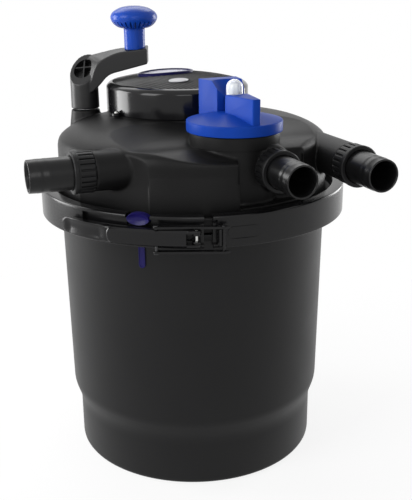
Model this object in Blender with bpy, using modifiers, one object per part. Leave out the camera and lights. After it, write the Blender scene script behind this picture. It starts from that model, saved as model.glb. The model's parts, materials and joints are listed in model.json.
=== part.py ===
"""Pressure pond filter with a built-in UV clarifier, a media-cleaning crank and a selector valve.

The canister stands on the floor at the origin, +Z is up. The left hose port points to -X,
the front and right hose ports point to -Y. All lengths are in metres.
"""
import math

import bmesh
import bpy
from mathutils import Matrix, Vector

# Clearances
GAP = 0.0003
RUNNING_GAP = 0.0010

# Facets round a full turn
BODY_STEPS = 40
PORT_STEPS = 20
SMALL_STEPS = 10
INNER_STEPS = 28

# Canister
BASE_R = 0.1635
BASE_EDGE_R = 0.005
STEP_BOTTOM_Z = 0.066
STEP_TOP_Z = 0.090
UPPER_R = 0.1717
RIM_R = 0.1750
CANISTER_WALL = 0.004
FLOOR_T = 0.005
RIM_Z = 0.3459
FLANGE_T = 0.008
FLANGE_R = 0.1900

# Clamp band round both flanges
BAND_R = 0.2000
BAND_Z0 = 0.3326
BAND_Z1 = 0.3700
BAND_WEB_CLEAR = 0.0015
BAND_LIP_R = 0.1855
BAND_EDGE = 0.0022
SPLIT_DEG = 255.0
SPLIT_W = 0.0105
RECESS_FROM_DEG = 210.0
RECESS_TO_DEG = 257.6
RECESS_DEPTH = 0.005
RECESS_TOP_LEFT = 0.004

# Latch on the band: fulcrum pin, link pin, catch
FULCRUM_DEG = 251.0
FULCRUM_R = 0.2072
LINK_PIN_DEG = 238.5
LINK_PIN_R = 0.2080
CATCH_PIN_DEG = 259.4
CATCH_PIN_R = 0.2080
LATCH_PIN_R = 0.0018
LEVER_Z0 = 0.3380
LEVER_Z1 = 0.3575
LEVER_TIP_DEG = 202.0
LEVER_LIFT_DEG = 214.0
LEVER_TIP_LIFT = 0.0075
LEVER_TIP_DROP = -0.0017
LEVER_T = 0.0125
LEVER_CLEAR = 0.0007
FORK_EAR_T = 0.0032
FORK_LENGTH = 0.0120
KNUCKLE_T = 0.0026
LEVER_END_R = 0.0055
RAIL_T = 0.0026
RAIL_W = 0.0072
RAIL_GAP = 0.0010
CATCH_T = 0.0030
CATCH_REACH = 0.0025
CATCH_ROOT = 0.0095

# Index strip on the canister and tab on the lid flange
INDEX_DEG = 231.6
TAB_Z = 0.3665
TAB_RX = 0.0140

# Lid
LID_R = 0.1755
LID_WALL = 0.004
LID_CROWN_Z = 0.4518
LID_SHELF_T = 0.0070
FLANGE_SEAL_GAP = 0.0016
SEAL_R = 0.1810
SEAL_T = 0.0040
TERRACE_Z = 0.4345
TERRACE_Y = -0.1020
TERRACE_MID_Y = -0.0600
TERRACE_MID_Z = 0.4400
TERRACE_BACK_Y = -0.0360
BLOCK_OUT = 0.0060

# Hose ports
PORT_Z = 0.4120
LEFT_PORT_Y = -0.1000
FRONT_PORT_X = 0.0390
RIGHT_PORT_X = 0.1350
LEFT_NUT_X = -0.1595
FRONT_NUT_Y = -0.1675
RIGHT_NUT_Y = -0.1765
PIPE_R = 0.0235
PIPE_BORE_R = 0.0160
SPIGOT_R = 0.0205
NUT_R = 0.0250
NUT_L = 0.0250
NUT_LIP_T = 0.0035
TAIL_R = 0.0195
TAIL_BARB = 0.0007
TAIL_FREE_L = 0.0500
TAIL_FLANGE_T = 0.0030
PORT_SEAL_T = 0.0025
SPIGOT_L = NUT_L - NUT_LIP_T - TAIL_FLANGE_T - PORT_SEAL_T - 3 * GAP
RIGHT_DUCT_L = 0.1100
RECESS_X0 = -0.0070
RECESS_X1 = 0.0850
RECESS_Y = -0.1500
RECESS_Z = 0.3700

# Selector valve
VALVE_X = 0.0120
VALVE_Y = -0.1150
NECK_R = 0.0470
NECK_Z = 0.4405
CHAMBER_R = 0.0410
CHAMBER_Z0 = 0.3750
CHAMBER_FLOOR_T = 0.0060
OUTLET_R = 0.0140
COLLAR_R = 0.0540
COLLAR_Z1 = 0.4495
KNOB_R = 0.0577
KNOB_Z0 = 0.4505
KNOB_RIM_T = 0.0130
KNOB_CONE_Z = 0.4720
WING_BACK_Z = 0.5060
WING_FRONT_Z = 0.4960
WING_DEG = -42.0
STEM_R = 0.0110
STEM_GRIP = 0.0100
DOME_R = 0.0100
DOME_Z1 = 0.5100

# UV clarifier on the lid
UV_Y = 0.0575
UV_RX = 0.0950
UV_STRETCH = 1.10
PAD_Z = 0.4525
PAD_SKIRT_Z = 0.4320
UV_RIM_Z = 0.4870
UV_CROWN_Z = 0.4920
UV_WALL = 0.003
GLAND_Z = 0.4690
LUG_R = 0.0062
LUG_OUT = 0.0035
LUG_T = 0.0030
LUG_DEG = {"left": 197.0, "right": 343.0, "rear": 55.0}
SCREW_R = 0.0016
SCREW_HEAD_R = 0.0034
SCREW_HEAD_T = 0.0026
SCREW_GRIP = 0.0030
GRILLE_RX = 0.0770
GRILLE_T = 0.0030
GRILLE_RIBS = 17
GRILLE_DEG = -62.0
SLEEVE_R = 0.0165
SLEEVE_WALL = 0.0015
SLEEVE_Z0 = 0.1700
SLEEVE_BOSS_T = 0.0050
SLEEVE_BOSS_Z = 0.4200
LAMP_TUBE_R = 0.0055
LAMP_Z0 = 0.1900
LAMP_BASE_Z0 = 0.4100

# Crank
CRANK_X = -0.1180
CRANK_Y = 0.1000
CRANK_BOSS_R0 = 0.0228
CRANK_BOSS_R1 = 0.0190
CRANK_BOSS_Z = 0.4530
HUB_R = 0.0190
HUB_Z0 = 0.4548
ARM_DEG = -20.0
ARM_L = 0.0700
ARM_W = 0.0330
ARM_T = 0.0220
ARM_TOP_Z = 0.5220
ARM_RISE_DEG = 14.0
SHAFT_R = 0.0070
SHAFT_Z0 = 0.3500
BUSH_T = 0.0026
CRANK_KNOB_R = 0.0310
CRANK_KNOB_Z1 = 0.5890
CRANK_KNOB_CAP_H = 0.0300
CRANK_STEM_R = 0.01385

# Turning media carrier inside the canister
PINION_TEETH = 8
CARRIER_TEETH = 92
GEAR_Z0 = 0.3520
GEAR_T = 0.0080
GEAR_RIM_IN_R = 0.1320
TUBE_R = 0.0520
TUBE_WALL = 0.0025
FOAM_R = 0.1450
FOAM_COUNT = 3
CARRIER_Z0 = 0.1000
CARRIER_BASE_T = 0.0050
GRID_T = 0.0050
GRID_HUB_R = 0.0200

MATERIALS = {
    "black_satin": ((0.030, 0.031, 0.034), 0.45, 0.0),
    "black_grain": ((0.026, 0.026, 0.028), 0.62, 0.0),
    "black_gloss": ((0.010, 0.010, 0.013), 0.12, 0.0),
    "valve_blue": ((0.030, 0.075, 0.52), 0.30, 0.0),
    "crank_blue": ((0.018, 0.085, 0.60), 0.18, 0.0),
    "index_blue": ((0.020, 0.016, 0.18), 0.30, 0.0),
    "steel": ((0.62, 0.62, 0.60), 0.28, 1.0),
    "rubber": ((0.015, 0.015, 0.015), 0.80, 0.0),
    "clear": ((0.80, 0.84, 0.88), 0.06, 0.0),
    "white_plastic": ((0.80, 0.80, 0.80), 0.40, 0.0),
    "natural_plastic": ((0.55, 0.55, 0.52), 0.50, 0.0),
    "foam_blue": ((0.05, 0.16, 0.42), 0.95, 0.0),
    "foam_black": ((0.03, 0.03, 0.03), 0.95, 0.0),
    "media": ((0.35, 0.30, 0.22), 0.90, 0.0),
}


def polar(radius, degrees, z=0.0):
    """Point at a radius and an angle round +Z."""
    angle = math.radians(degrees)
    return Vector((radius * math.cos(angle), radius * math.sin(angle), z))


def clear_scene():
    for item in list(bpy.data.objects):
        bpy.data.objects.remove(item)


def make_collection(name):
    group = bpy.data.collections.new(name)
    bpy.context.scene.collection.children.link(group)
    return group


def make_materials():
    made = {}
    for name, (colour, roughness, metallic) in MATERIALS.items():
        finish = bpy.data.materials.new(name)
        finish.use_nodes = True
        shader = finish.node_tree.nodes["Principled BSDF"]
        shader.inputs["Base Color"].default_value = (*colour, 1.0)
        shader.inputs["Roughness"].default_value = roughness
        shader.inputs["Metallic"].default_value = metallic
        finish.diffuse_color = (*colour, 1.0)
        made[name] = finish
    return made


clear_scene()
PARTS = make_collection("uv_pond_filter")
CUTTERS = make_collection("cutters")
FINISH = make_materials()


def place(mesh, name, finish=None, centre=(0, 0, 0), matrix=None):
    """Wrap a mesh as a named part, or as a hidden cutter when it has no finish."""
    body = bpy.data.objects.new(name, mesh)
    if finish is None:
        CUTTERS.objects.link(body)
        body.hide_render = True
        body.display_type = "WIRE"
    else:
        PARTS.objects.link(body)
        mesh.materials.clear()
        mesh.materials.append(FINISH[finish])
    body.matrix_world = matrix if matrix is not None else Matrix.Translation(Vector(centre))
    mesh.shade_smooth()
    mesh.set_sharp_from_angle(angle=math.radians(35))
    return body


def toward(direction, centre):
    """Matrix that points local +Z along a direction from a centre."""
    turn = Vector(direction).normalized().to_track_quat("Z", "Y").to_matrix().to_4x4()
    return Matrix.Translation(Vector(centre)) @ turn


def turned(name, profile, finish=None, steps=BODY_STEPS, closed=True, **where):
    """Revolve a profile of (radius, z) points that runs down its outer side."""
    mesh = bpy.data.meshes.new(name)
    points = [(radius, 0.0, z) for radius, z in profile]
    edges = [(i, i + 1) for i in range(len(points) - 1)]
    if closed:
        edges.append((len(points) - 1, 0))
    mesh.from_pydata(points, edges, [])
    body = place(mesh, name, finish, **where)
    screw = body.modifiers.new("turn", "SCREW")
    screw.axis = "Z"
    screw.angle = math.tau
    screw.steps = steps
    screw.render_steps = steps
    screw.use_merge_vertices = True
    screw.merge_threshold = 0.00001
    screw.use_smooth_shade = True
    return body


def cylinder(name, radius, z0, z1, finish=None, steps=PORT_STEPS, top_radius=None, **where):
    upper = radius if top_radius is None else top_radius
    profile = [(0.0, z1), (upper, z1), (radius, z0), (0.0, z0)]
    return turned(name, profile, finish, steps, closed=False, **where)


def ring(name, outer, inner, z0, z1, finish=None, steps=BODY_STEPS, **where):
    profile = [(outer, z1), (outer, z0), (inner, z0), (inner, z1)]
    return turned(name, profile, finish, steps, **where)


def box(name, low, high, finish=None, matrix=None):
    mesh = bpy.data.meshes.new(name)
    work = bmesh.new()
    bmesh.ops.create_cube(work, size=1.0)
    size = Vector(high) - Vector(low)
    middle = (Vector(high) + Vector(low)) / 2
    bmesh.ops.transform(work, matrix=Matrix.Diagonal((*size, 1.0)), verts=work.verts)
    bmesh.ops.translate(work, vec=middle, verts=work.verts)
    work.to_mesh(mesh)
    work.free()
    return place(mesh, name, finish, matrix=matrix if matrix is not None else Matrix())


def plate(name, outline, z0, z1, finish=None, matrix=None, holes=()):
    """Flat outline of (x, y) points with any holes, filled and extruded from z0 to z1."""
    curve = bpy.data.curves.new(name, "CURVE")
    curve.dimensions = "2D"
    curve.fill_mode = "BOTH"
    curve.extrude = (z1 - z0) / 2
    for loop in (outline, *holes):
        line = curve.splines.new("POLY")
        line.points.add(len(loop) - 1)
        for point, (x, y) in zip(line.points, loop):
            point.co = (x, y, 0.0, 1.0)
        line.use_cyclic_u = True
    drawn = bpy.data.objects.new(name + "_outline", curve)
    bpy.context.scene.collection.objects.link(drawn)
    graph = bpy.context.evaluated_depsgraph_get()
    mesh = bpy.data.meshes.new_from_object(drawn.evaluated_get(graph))
    bpy.data.objects.remove(drawn)
    work = bmesh.new()
    work.from_mesh(mesh)
    bmesh.ops.remove_doubles(work, verts=work.verts, dist=0.00001)
    bmesh.ops.translate(work, vec=(0, 0, (z0 + z1) / 2), verts=work.verts)
    bmesh.ops.recalc_face_normals(work, faces=work.faces)
    work.to_mesh(mesh)
    work.free()
    return place(mesh, name, finish, matrix=matrix if matrix is not None else Matrix())


def boolean(body, other, operation):
    change = body.modifiers.new(operation.lower(), "BOOLEAN")
    change.operation = operation
    change.solver = "EXACT"
    change.object = other
    return body


def cut(body, other):
    return boolean(body, other, "DIFFERENCE")


def join(body, other):
    return boolean(body, other, "UNION")


def keep(body, other):
    return boolean(body, other, "INTERSECT")


def arc(centre, radius, start, end, count):
    """Points of an arc in degrees, both ends included."""
    points = []
    for i in range(count + 1):
        angle = math.radians(start + (end - start) * i / count)
        points.append((centre[0] + radius * math.cos(angle), centre[1] + radius * math.sin(angle)))
    return points


def sector(inner, outer, start, end, count=20):
    return arc((0, 0), outer, start, end, count) + arc((0, 0), inner, end, start, count)


def slot_outline(a, b, radius, count=8):
    """Round-ended strip between two points."""
    a, b = Vector(a), Vector(b)
    heading = math.degrees(math.atan2(b.y - a.y, b.x - a.x))
    ends = arc(a, radius, heading + 90, heading + 270, count)
    return ends + arc(b, radius, heading - 90, heading + 90, count)


def ellipse(centre, rx, ry, count=48):
    points = []
    for i in range(count):
        angle = math.tau * i / count
        points.append((centre[0] + rx * math.cos(angle), centre[1] + ry * math.sin(angle)))
    return points


def make_canister():
    low_in = BASE_R - CANISTER_WALL
    up_in = UPPER_R - CANISTER_WALL
    rim_in = RIM_R - CANISTER_WALL
    edge = arc((BASE_R - BASE_EDGE_R, BASE_EDGE_R), BASE_EDGE_R, 0, -90, 3)
    profile = [(0, FLOOR_T), (low_in, FLOOR_T), (low_in, STEP_TOP_Z), (up_in, STEP_TOP_Z), (rim_in, RIM_Z)]
    profile += [(FLANGE_R, RIM_Z), (FLANGE_R, RIM_Z - FLANGE_T), (RIM_R, RIM_Z - FLANGE_T)]
    profile += [(UPPER_R, STEP_TOP_Z), (BASE_R, STEP_BOTTOM_Z)]
    profile += edge + [(0, 0)]
    canister = turned("canister", profile, "black_satin", closed=False)
    return canister


def make_index_marks():
    """Blue strip on the canister and blue tab on the lid flange, one above the other."""
    turn = Matrix.Rotation(math.radians(INDEX_DEG), 4, "Z")
    strip_matrix = turn @ Matrix.Translation((RIM_R, 0, 0)) @ Matrix.Rotation(math.radians(90), 4, "Y")
    strip = plate("index_strip", slot_outline((-0.303, 0), (-0.327, 0), 0.0045, 5), 0.0, 0.0016,
                  "index_blue", strip_matrix)
    tab_middle = Matrix.Translation((FLANGE_R + GAP, 0, TAB_Z)) @ Matrix.Rotation(math.radians(90), 4, "Y")
    tab = plate("lid_index_tab", ellipse((0, 0), 0.0080, TAB_RX, 20), 0.0, 0.0090, "index_blue",
                turn @ tab_middle)
    return strip, tab


def make_clamp_band():
    web_in = FLANGE_R + BAND_WEB_CLEAR
    lower_lip_z = RIM_Z - FLANGE_T - GAP
    upper_lip_z = BAND_Z1 - RECESS_TOP_LEFT
    profile = [(BAND_R - BAND_EDGE, BAND_Z1), (BAND_R, BAND_Z1 - BAND_EDGE), (BAND_R, BAND_Z0 + BAND_EDGE / 2)]
    profile += [(BAND_R - BAND_EDGE / 2, BAND_Z0), (BAND_LIP_R - 0.005, BAND_Z0)]
    profile += [(BAND_LIP_R - 0.005, lower_lip_z), (web_in, lower_lip_z), (web_in, upper_lip_z)]
    profile += [(BAND_LIP_R, upper_lip_z), (BAND_LIP_R, BAND_Z1)]
    band = turned("clamp_band", profile, "black_satin")
    split_turn = Matrix.Rotation(math.radians(SPLIT_DEG), 4, "Z")
    cut(band, box("band_split_cut", (0.17, -SPLIT_W / 2, 0.32), (0.22, SPLIT_W / 2, 0.38), matrix=split_turn))
    floor_r = BAND_R - RECESS_DEPTH
    recess = sector(floor_r, BAND_R + 0.02, RECESS_FROM_DEG, RECESS_TO_DEG)
    cut(band, plate("band_recess_cut", recess, BAND_Z0 + 0.0045, upper_lip_z))
    notch = TAB_RX + 0.0008
    notch_turn = Matrix.Rotation(math.radians(INDEX_DEG), 4, "Z")
    cut(band, box("band_tab_notch", (0.18, -notch, 0.3568), (0.21, notch, 0.38), matrix=notch_turn))
    fulcrum = polar(FULCRUM_R, FULCRUM_DEG)
    inward = polar(floor_r - 0.002 + LEVER_END_R, FULCRUM_DEG)
    low = LEVER_Z0 + FORK_EAR_T + GAP
    high = LEVER_Z1 - FORK_EAR_T - GAP
    knuckle = slot_outline(inward.to_2d(), fulcrum.to_2d(), LEVER_END_R)
    for name, z0 in (("lower", low), ("upper", high - KNUCKLE_T)):
        join(band, plate(name + "_knuckle", knuckle, z0, z0 + KNUCKLE_T))
    pin_hole = cylinder("fulcrum_hole", LATCH_PIN_R + GAP, LEVER_Z0, LEVER_Z1, steps=SMALL_STEPS,
                        centre=(fulcrum.x, fulcrum.y, 0))
    cut(band, pin_hole)
    bar = polar(CATCH_PIN_R, CATCH_PIN_DEG).to_2d()
    along = (polar(LINK_PIN_R, LINK_PIN_DEG).to_2d() - bar).normalized()
    outward = Vector((-along.y, along.x))
    if outward.dot(bar) < 0:
        outward.negate()
    near = bar + along * (LATCH_PIN_R + GAP)
    far = near + along * CATCH_T
    corners = [near - outward * CATCH_ROOT, near + outward * CATCH_REACH]
    corners += [far + outward * CATCH_REACH, far - outward * CATCH_ROOT]
    join(band, plate("band_catch", corners, LEVER_Z0, LEVER_Z1))
    return band


def lever_edge(out, tip_lift, start, end, count):
    """Edge of the latch lever: it follows the band, then shifts by the tip lift at the finger tip."""
    points = []
    for i in range(count + 1):
        angle = start + (end - start) * i / count
        share = max(0.0, (LEVER_LIFT_DEG - angle) / (LEVER_LIFT_DEG - LEVER_TIP_DEG))
        radius = BAND_R + LEVER_CLEAR + out + tip_lift * share ** 1.5
        points.append(polar(radius, angle).to_2d())
    return points


def make_latch():
    fulcrum = polar(FULCRUM_R, FULCRUM_DEG)
    link_pin = polar(LINK_PIN_R, LINK_PIN_DEG)
    catch_pin = polar(CATCH_PIN_R, CATCH_PIN_DEG)
    inner = lever_edge(0.0, LEVER_TIP_LIFT, LEVER_TIP_DEG, FULCRUM_DEG, 14)
    outer = lever_edge(LEVER_T, LEVER_TIP_DROP, FULCRUM_DEG, LEVER_TIP_DEG + 0.5, 14)
    outline = [(p.x - fulcrum.x, p.y - fulcrum.y) for p in inner + outer]
    lever = plate("latch_lever", outline, LEVER_Z0, LEVER_Z1, "black_satin", Matrix.Translation(fulcrum))
    end = slot_outline(fulcrum.to_2d(), polar(FULCRUM_R, FULCRUM_DEG - 2.0).to_2d(), LEVER_END_R)
    join(lever, plate("lever_round_end", end, LEVER_Z0, LEVER_Z1))
    fork_low = LEVER_Z0 + FORK_EAR_T
    fork_high = LEVER_Z1 - FORK_EAR_T
    back_deg = FULCRUM_DEG - math.degrees((FORK_LENGTH - LEVER_END_R) / FULCRUM_R)
    fork = sector(BAND_R - 0.01, BAND_R + 0.03, back_deg, FULCRUM_DEG + 3.0, 4)
    cut(lever, plate("lever_fork_cut", fork, fork_low, fork_high))
    for name, spot in (("fulcrum", fulcrum), ("link_pin", link_pin)):
        cut(lever, cylinder(name + "_lever_hole", LATCH_PIN_R + GAP, LEVER_Z0 - 0.01, LEVER_Z1 + 0.01,
                            steps=SMALL_STEPS, centre=(spot.x, spot.y, 0)))
    scoop = sector(BAND_R + LEVER_CLEAR + LEVER_T - 0.0025, BAND_R + 0.04, LEVER_TIP_DEG + 2.0, 218.0, 8)
    cut(lever, plate("lever_scoop_cut", scoop, LEVER_Z0 + 0.0022, LEVER_Z1 - 0.0022))

    cylinder("fulcrum_pin", LATCH_PIN_R, LEVER_Z0 + GAP, LEVER_Z1 - GAP, "steel", SMALL_STEPS,
             centre=(fulcrum.x, fulcrum.y, 0))

    top_z = LEVER_Z1 + RAIL_GAP
    bottom_z = BAND_Z0 - RAIL_GAP / 2
    strap = slot_outline((0, 0), (catch_pin - link_pin).to_2d(), RAIL_W / 2, 6)
    link = plate("latch_link", strap, top_z, top_z + RAIL_T, "black_satin", Matrix.Translation(link_pin))
    under = plate("link_lower_rail", strap, bottom_z - RAIL_T, bottom_z, matrix=Matrix.Translation(link_pin))
    join(link, under)
    bar = cylinder("link_bar", LATCH_PIN_R, bottom_z - RAIL_T / 2, top_z + RAIL_T / 2, steps=SMALL_STEPS,
                   centre=(catch_pin.x, catch_pin.y, 0))
    join(link, bar)
    cut(link, cylinder("link_pin_hole", LATCH_PIN_R + GAP, 0.32, 0.38, steps=SMALL_STEPS,
                       centre=(link_pin.x, link_pin.y, 0)))
    pin = [(0, top_z + RAIL_T + 0.0012), (0.0028, top_z + RAIL_T + 0.0012), (0.0028, top_z + RAIL_T + GAP)]
    pin += [(LATCH_PIN_R, top_z + RAIL_T + GAP), (LATCH_PIN_R, bottom_z - RAIL_T - GAP)]
    pin += [(0.0028, bottom_z - RAIL_T - GAP), (0.0028, bottom_z - RAIL_T - 0.0012), (0, bottom_z - RAIL_T - 0.0012)]
    turned("link_pin", pin, "steel", SMALL_STEPS, closed=False, centre=(link_pin.x, link_pin.y, 0))


def lug_spot(angle):
    """Place of one screw lug at the foot of the oval clarifier housing."""
    x = (UV_RX + LUG_OUT) * math.cos(math.radians(angle))
    y = UV_Y + (UV_RX * UV_STRETCH + LUG_OUT) * math.sin(math.radians(angle))
    return Vector((x, y, 0))


def terrace_cutter(name, drop):
    """Volume above the front of the lid, where the crown falls to the level of the hose duct."""
    side = [(0.02, LID_CROWN_Z + 0.002), (TERRACE_BACK_Y, LID_CROWN_Z - drop)]
    side += [(TERRACE_MID_Y, TERRACE_MID_Z - drop), (TERRACE_Y, TERRACE_Z - drop)]
    side += [(-0.25, TERRACE_Z - drop), (-0.25, 0.50), (0.02, 0.50)]
    stand = Matrix(((0, 0, 1, 0), (1, 0, 0, 0), (0, 1, 0, 0), (0, 0, 0, 1)))
    return plate(name, side, -0.25, 0.25, matrix=stand)


def dome_profile(inset):
    """Crown and wall of the lid, from the middle down to the foot."""
    crown = LID_CROWN_Z - inset
    wall = LID_R - inset
    points = [(0.0, crown), (0.115, crown - 0.0015), (0.143, crown - 0.0065)]
    points += [(0.162 - inset * 0.5, crown - 0.0145), (wall - 0.0025, crown - 0.0230), (wall, crown - 0.0300)]
    return points


def port_duct(name, centre, direction, length_in):
    """Duct of one hose port with its stepped union spigot, and the bore through both."""
    profile = [(0, SPIGOT_L), (SPIGOT_R, SPIGOT_L), (SPIGOT_R, 0), (PIPE_R, 0), (PIPE_R, -length_in), (0, -length_in)]
    axis = toward(direction, centre)
    duct = turned(name + "_duct", profile, steps=PORT_STEPS, closed=False, matrix=axis)
    bore = cylinder(name + "_bore", PIPE_BORE_R, -length_in + 0.006, SPIGOT_L + 0.01, matrix=axis)
    return duct, bore


def make_lid():
    shelf_z = RIM_Z + FLANGE_SEAL_GAP
    lip_top = BAND_Z1 - RECESS_TOP_LEFT - GAP
    outer = dome_profile(0.0)
    foot = [(LID_R + 0.0005, shelf_z + LID_SHELF_T), (BAND_LIP_R, shelf_z + LID_SHELF_T), (BAND_LIP_R, lip_top)]
    foot += [(FLANGE_R, lip_top), (FLANGE_R, shelf_z)]
    groove = [(SEAL_R + SEAL_T * 0.6, shelf_z), (SEAL_R + SEAL_T * 0.6, shelf_z + SEAL_T - 0.001)]
    groove += [(SEAL_R - SEAL_T * 0.6, shelf_z + SEAL_T - 0.001), (SEAL_R - SEAL_T * 0.6, shelf_z)]
    lid = turned("lid", outer + foot + groove + [(0.160, shelf_z), (0.0, shelf_z)], "black_grain", closed=False)
    cut(lid, terrace_cutter("terrace_cut", 0.0))
    shoulder = TERRACE_Z - 0.0045
    front_r = LID_R + BLOCK_OUT
    block_profile = [(0.150, shoulder), (front_r - 0.009, shoulder), (front_r - 0.002, shoulder - 0.0065)]
    block_profile += [(front_r, shoulder - 0.014), (front_r, shelf_z + LID_SHELF_T / 2), (0.150, shelf_z + LID_SHELF_T / 2)]
    block = turned("valve_block", block_profile)
    keep(block, plate("valve_block_span", sector(0.14, 0.20, 233.5, 268.6, 6), 0.34, 0.45))
    join(lid, block)
    cut(lid, box("front_port_recess", (RECESS_X0, -0.20, RECESS_Z), (RECESS_X1, RECESS_Y, 0.50)))

    pad_rx = UV_RX - 0.0005
    pad = plate("uv_pad", ellipse((0, UV_Y), pad_rx, pad_rx * UV_STRETCH, BODY_STEPS), PAD_SKIRT_Z, PAD_Z)
    for name, angle in LUG_DEG.items():
        join(pad, cylinder(name + "_screw_boss", LUG_R, PAD_SKIRT_Z, PAD_Z, steps=12, centre=lug_spot(angle)))
    join(lid, pad)
    cavity = dome_profile(LID_WALL)
    cavity = turned("lid_cavity", cavity + [(LID_R - LID_WALL, shelf_z - 0.01), (0.0, shelf_z - 0.01)], closed=False)
    cut(cavity, terrace_cutter("terrace_underside", LID_WALL))
    wall_low = (RECESS_X0 - LID_WALL, -0.20, RECESS_Z - LID_WALL)
    wall_high = (RECESS_X1 + LID_WALL, RECESS_Y + LID_WALL, 0.50)
    cut(cavity, box("recess_wall", wall_low, wall_high))
    cut(lid, cavity)

    neck_low = CHAMBER_Z0 - CHAMBER_FLOOR_T
    spot = (VALVE_X, VALVE_Y, 0)
    crank = (CRANK_X, CRANK_Y, 0)
    solids = cylinder("valve_neck", NECK_R, neck_low, NECK_Z, steps=INNER_STEPS, centre=spot)
    voids = cylinder("valve_chamber", CHAMBER_R, CHAMBER_Z0, NECK_Z + 0.01, steps=INNER_STEPS, centre=spot)
    ports = (
        ("left", (LEFT_NUT_X + GAP, LEFT_PORT_Y, PORT_Z), (-1, 0, 0), VALVE_X - LEFT_NUT_X - 0.036),
        ("front", (FRONT_PORT_X, FRONT_NUT_Y + GAP, PORT_Z), (0, -1, 0), VALVE_Y - FRONT_NUT_Y + 0.010),
        ("right", (RIGHT_PORT_X, RIGHT_NUT_Y + GAP, PORT_Z), (0, -1, 0), RIGHT_DUCT_L),
    )
    for name, centre, direction, length_in in ports:
        duct, bore = port_duct(name, centre, direction, length_in)
        join(solids, duct)
        join(voids, bore)
    join(solids, cylinder("crank_boss", CRANK_BOSS_R0, 0.425, CRANK_BOSS_Z, top_radius=CRANK_BOSS_R1, centre=crank))
    # Turned a little, so that the boss shares no facet edge with the crown.
    askew = Matrix.Rotation(math.radians(4.0), 4, "Z")
    join(solids, cylinder("sleeve_boss", SLEEVE_R + SLEEVE_BOSS_T, SLEEVE_BOSS_Z, 0.4505, matrix=askew))
    join(lid, solids)

    outlet = (VALVE_X - 0.018, VALVE_Y + 0.014, 0)
    join(voids, cylinder("chamber_outlet", OUTLET_R, 0.36, CHAMBER_Z0 + 0.01, centre=outlet))
    window = box("right_duct_window", (RIGHT_PORT_X - 0.030, -0.10, PORT_Z - 0.009), (RIGHT_PORT_X, -0.07, PORT_Z + 0.009))
    join(voids, window)
    for name, angle in LUG_DEG.items():
        join(voids, cylinder(name + "_screw_hole", SCREW_R + GAP, PAD_Z - SCREW_GRIP - GAP, PAD_Z + 0.01,
                             steps=SMALL_STEPS, centre=lug_spot(angle)))
    join(voids, cylinder("crank_bore", SHAFT_R + BUSH_T + GAP, 0.41, 0.47, centre=crank))
    join(voids, cylinder("sleeve_bore", SLEEVE_R + 2 * GAP, 0.40, 0.47, matrix=askew))
    cut(lid, voids)

    ring_points = [(SEAL_R + SEAL_T / 2 * math.cos(a), shelf_z + SEAL_T / 2 - FLANGE_SEAL_GAP + GAP
                    + SEAL_T / 2 * math.sin(a)) for a in [math.radians(90 - 90 * i) for i in range(4)]]
    turned("lid_seal", ring_points, "rubber")
    return lid


def make_port(name, centre, direction):
    """Union nut, hose tail and face seal of one port, turned about the port axis."""
    axis = toward(direction, centre)
    seal_z = SPIGOT_L + GAP
    tail_z = seal_z + PORT_SEAL_T + GAP
    flange_top = tail_z + TAIL_FLANGE_T
    ring(name + "_port_seal", SPIGOT_R - 0.0005, PIPE_BORE_R, seal_z, seal_z + PORT_SEAL_T, "rubber", PORT_STEPS,
         matrix=axis)
    bore = TAIL_R - 0.0035
    mouth = NUT_L + TAIL_FREE_L
    barb = TAIL_R + TAIL_BARB
    tail = [(bore, mouth), (TAIL_R - 0.001, mouth)]
    for i in range(2):
        top = mouth - 0.005 - 0.009 * i
        tail += [(barb, top), (TAIL_R, top - 0.007)]
    tail += [(TAIL_R, flange_top), (SPIGOT_R, flange_top), (SPIGOT_R, tail_z), (bore, tail_z)]
    turned("hose_tail_" + name, tail, "black_satin", PORT_STEPS, matrix=axis)

    lip_z = NUT_L - NUT_LIP_T
    inner = SPIGOT_R + 2 * GAP
    nut_profile = [(NUT_R, NUT_L - 0.001), (NUT_R, GAP), (inner, GAP), (inner, lip_z), (TAIL_R + 2 * GAP, lip_z)]
    nut_profile += [(TAIL_R + 2 * GAP, NUT_L), (NUT_R - 0.001, NUT_L)]
    nut = turned("union_nut_" + name, nut_profile, "black_satin", PORT_STEPS, matrix=axis)
    return nut


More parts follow.
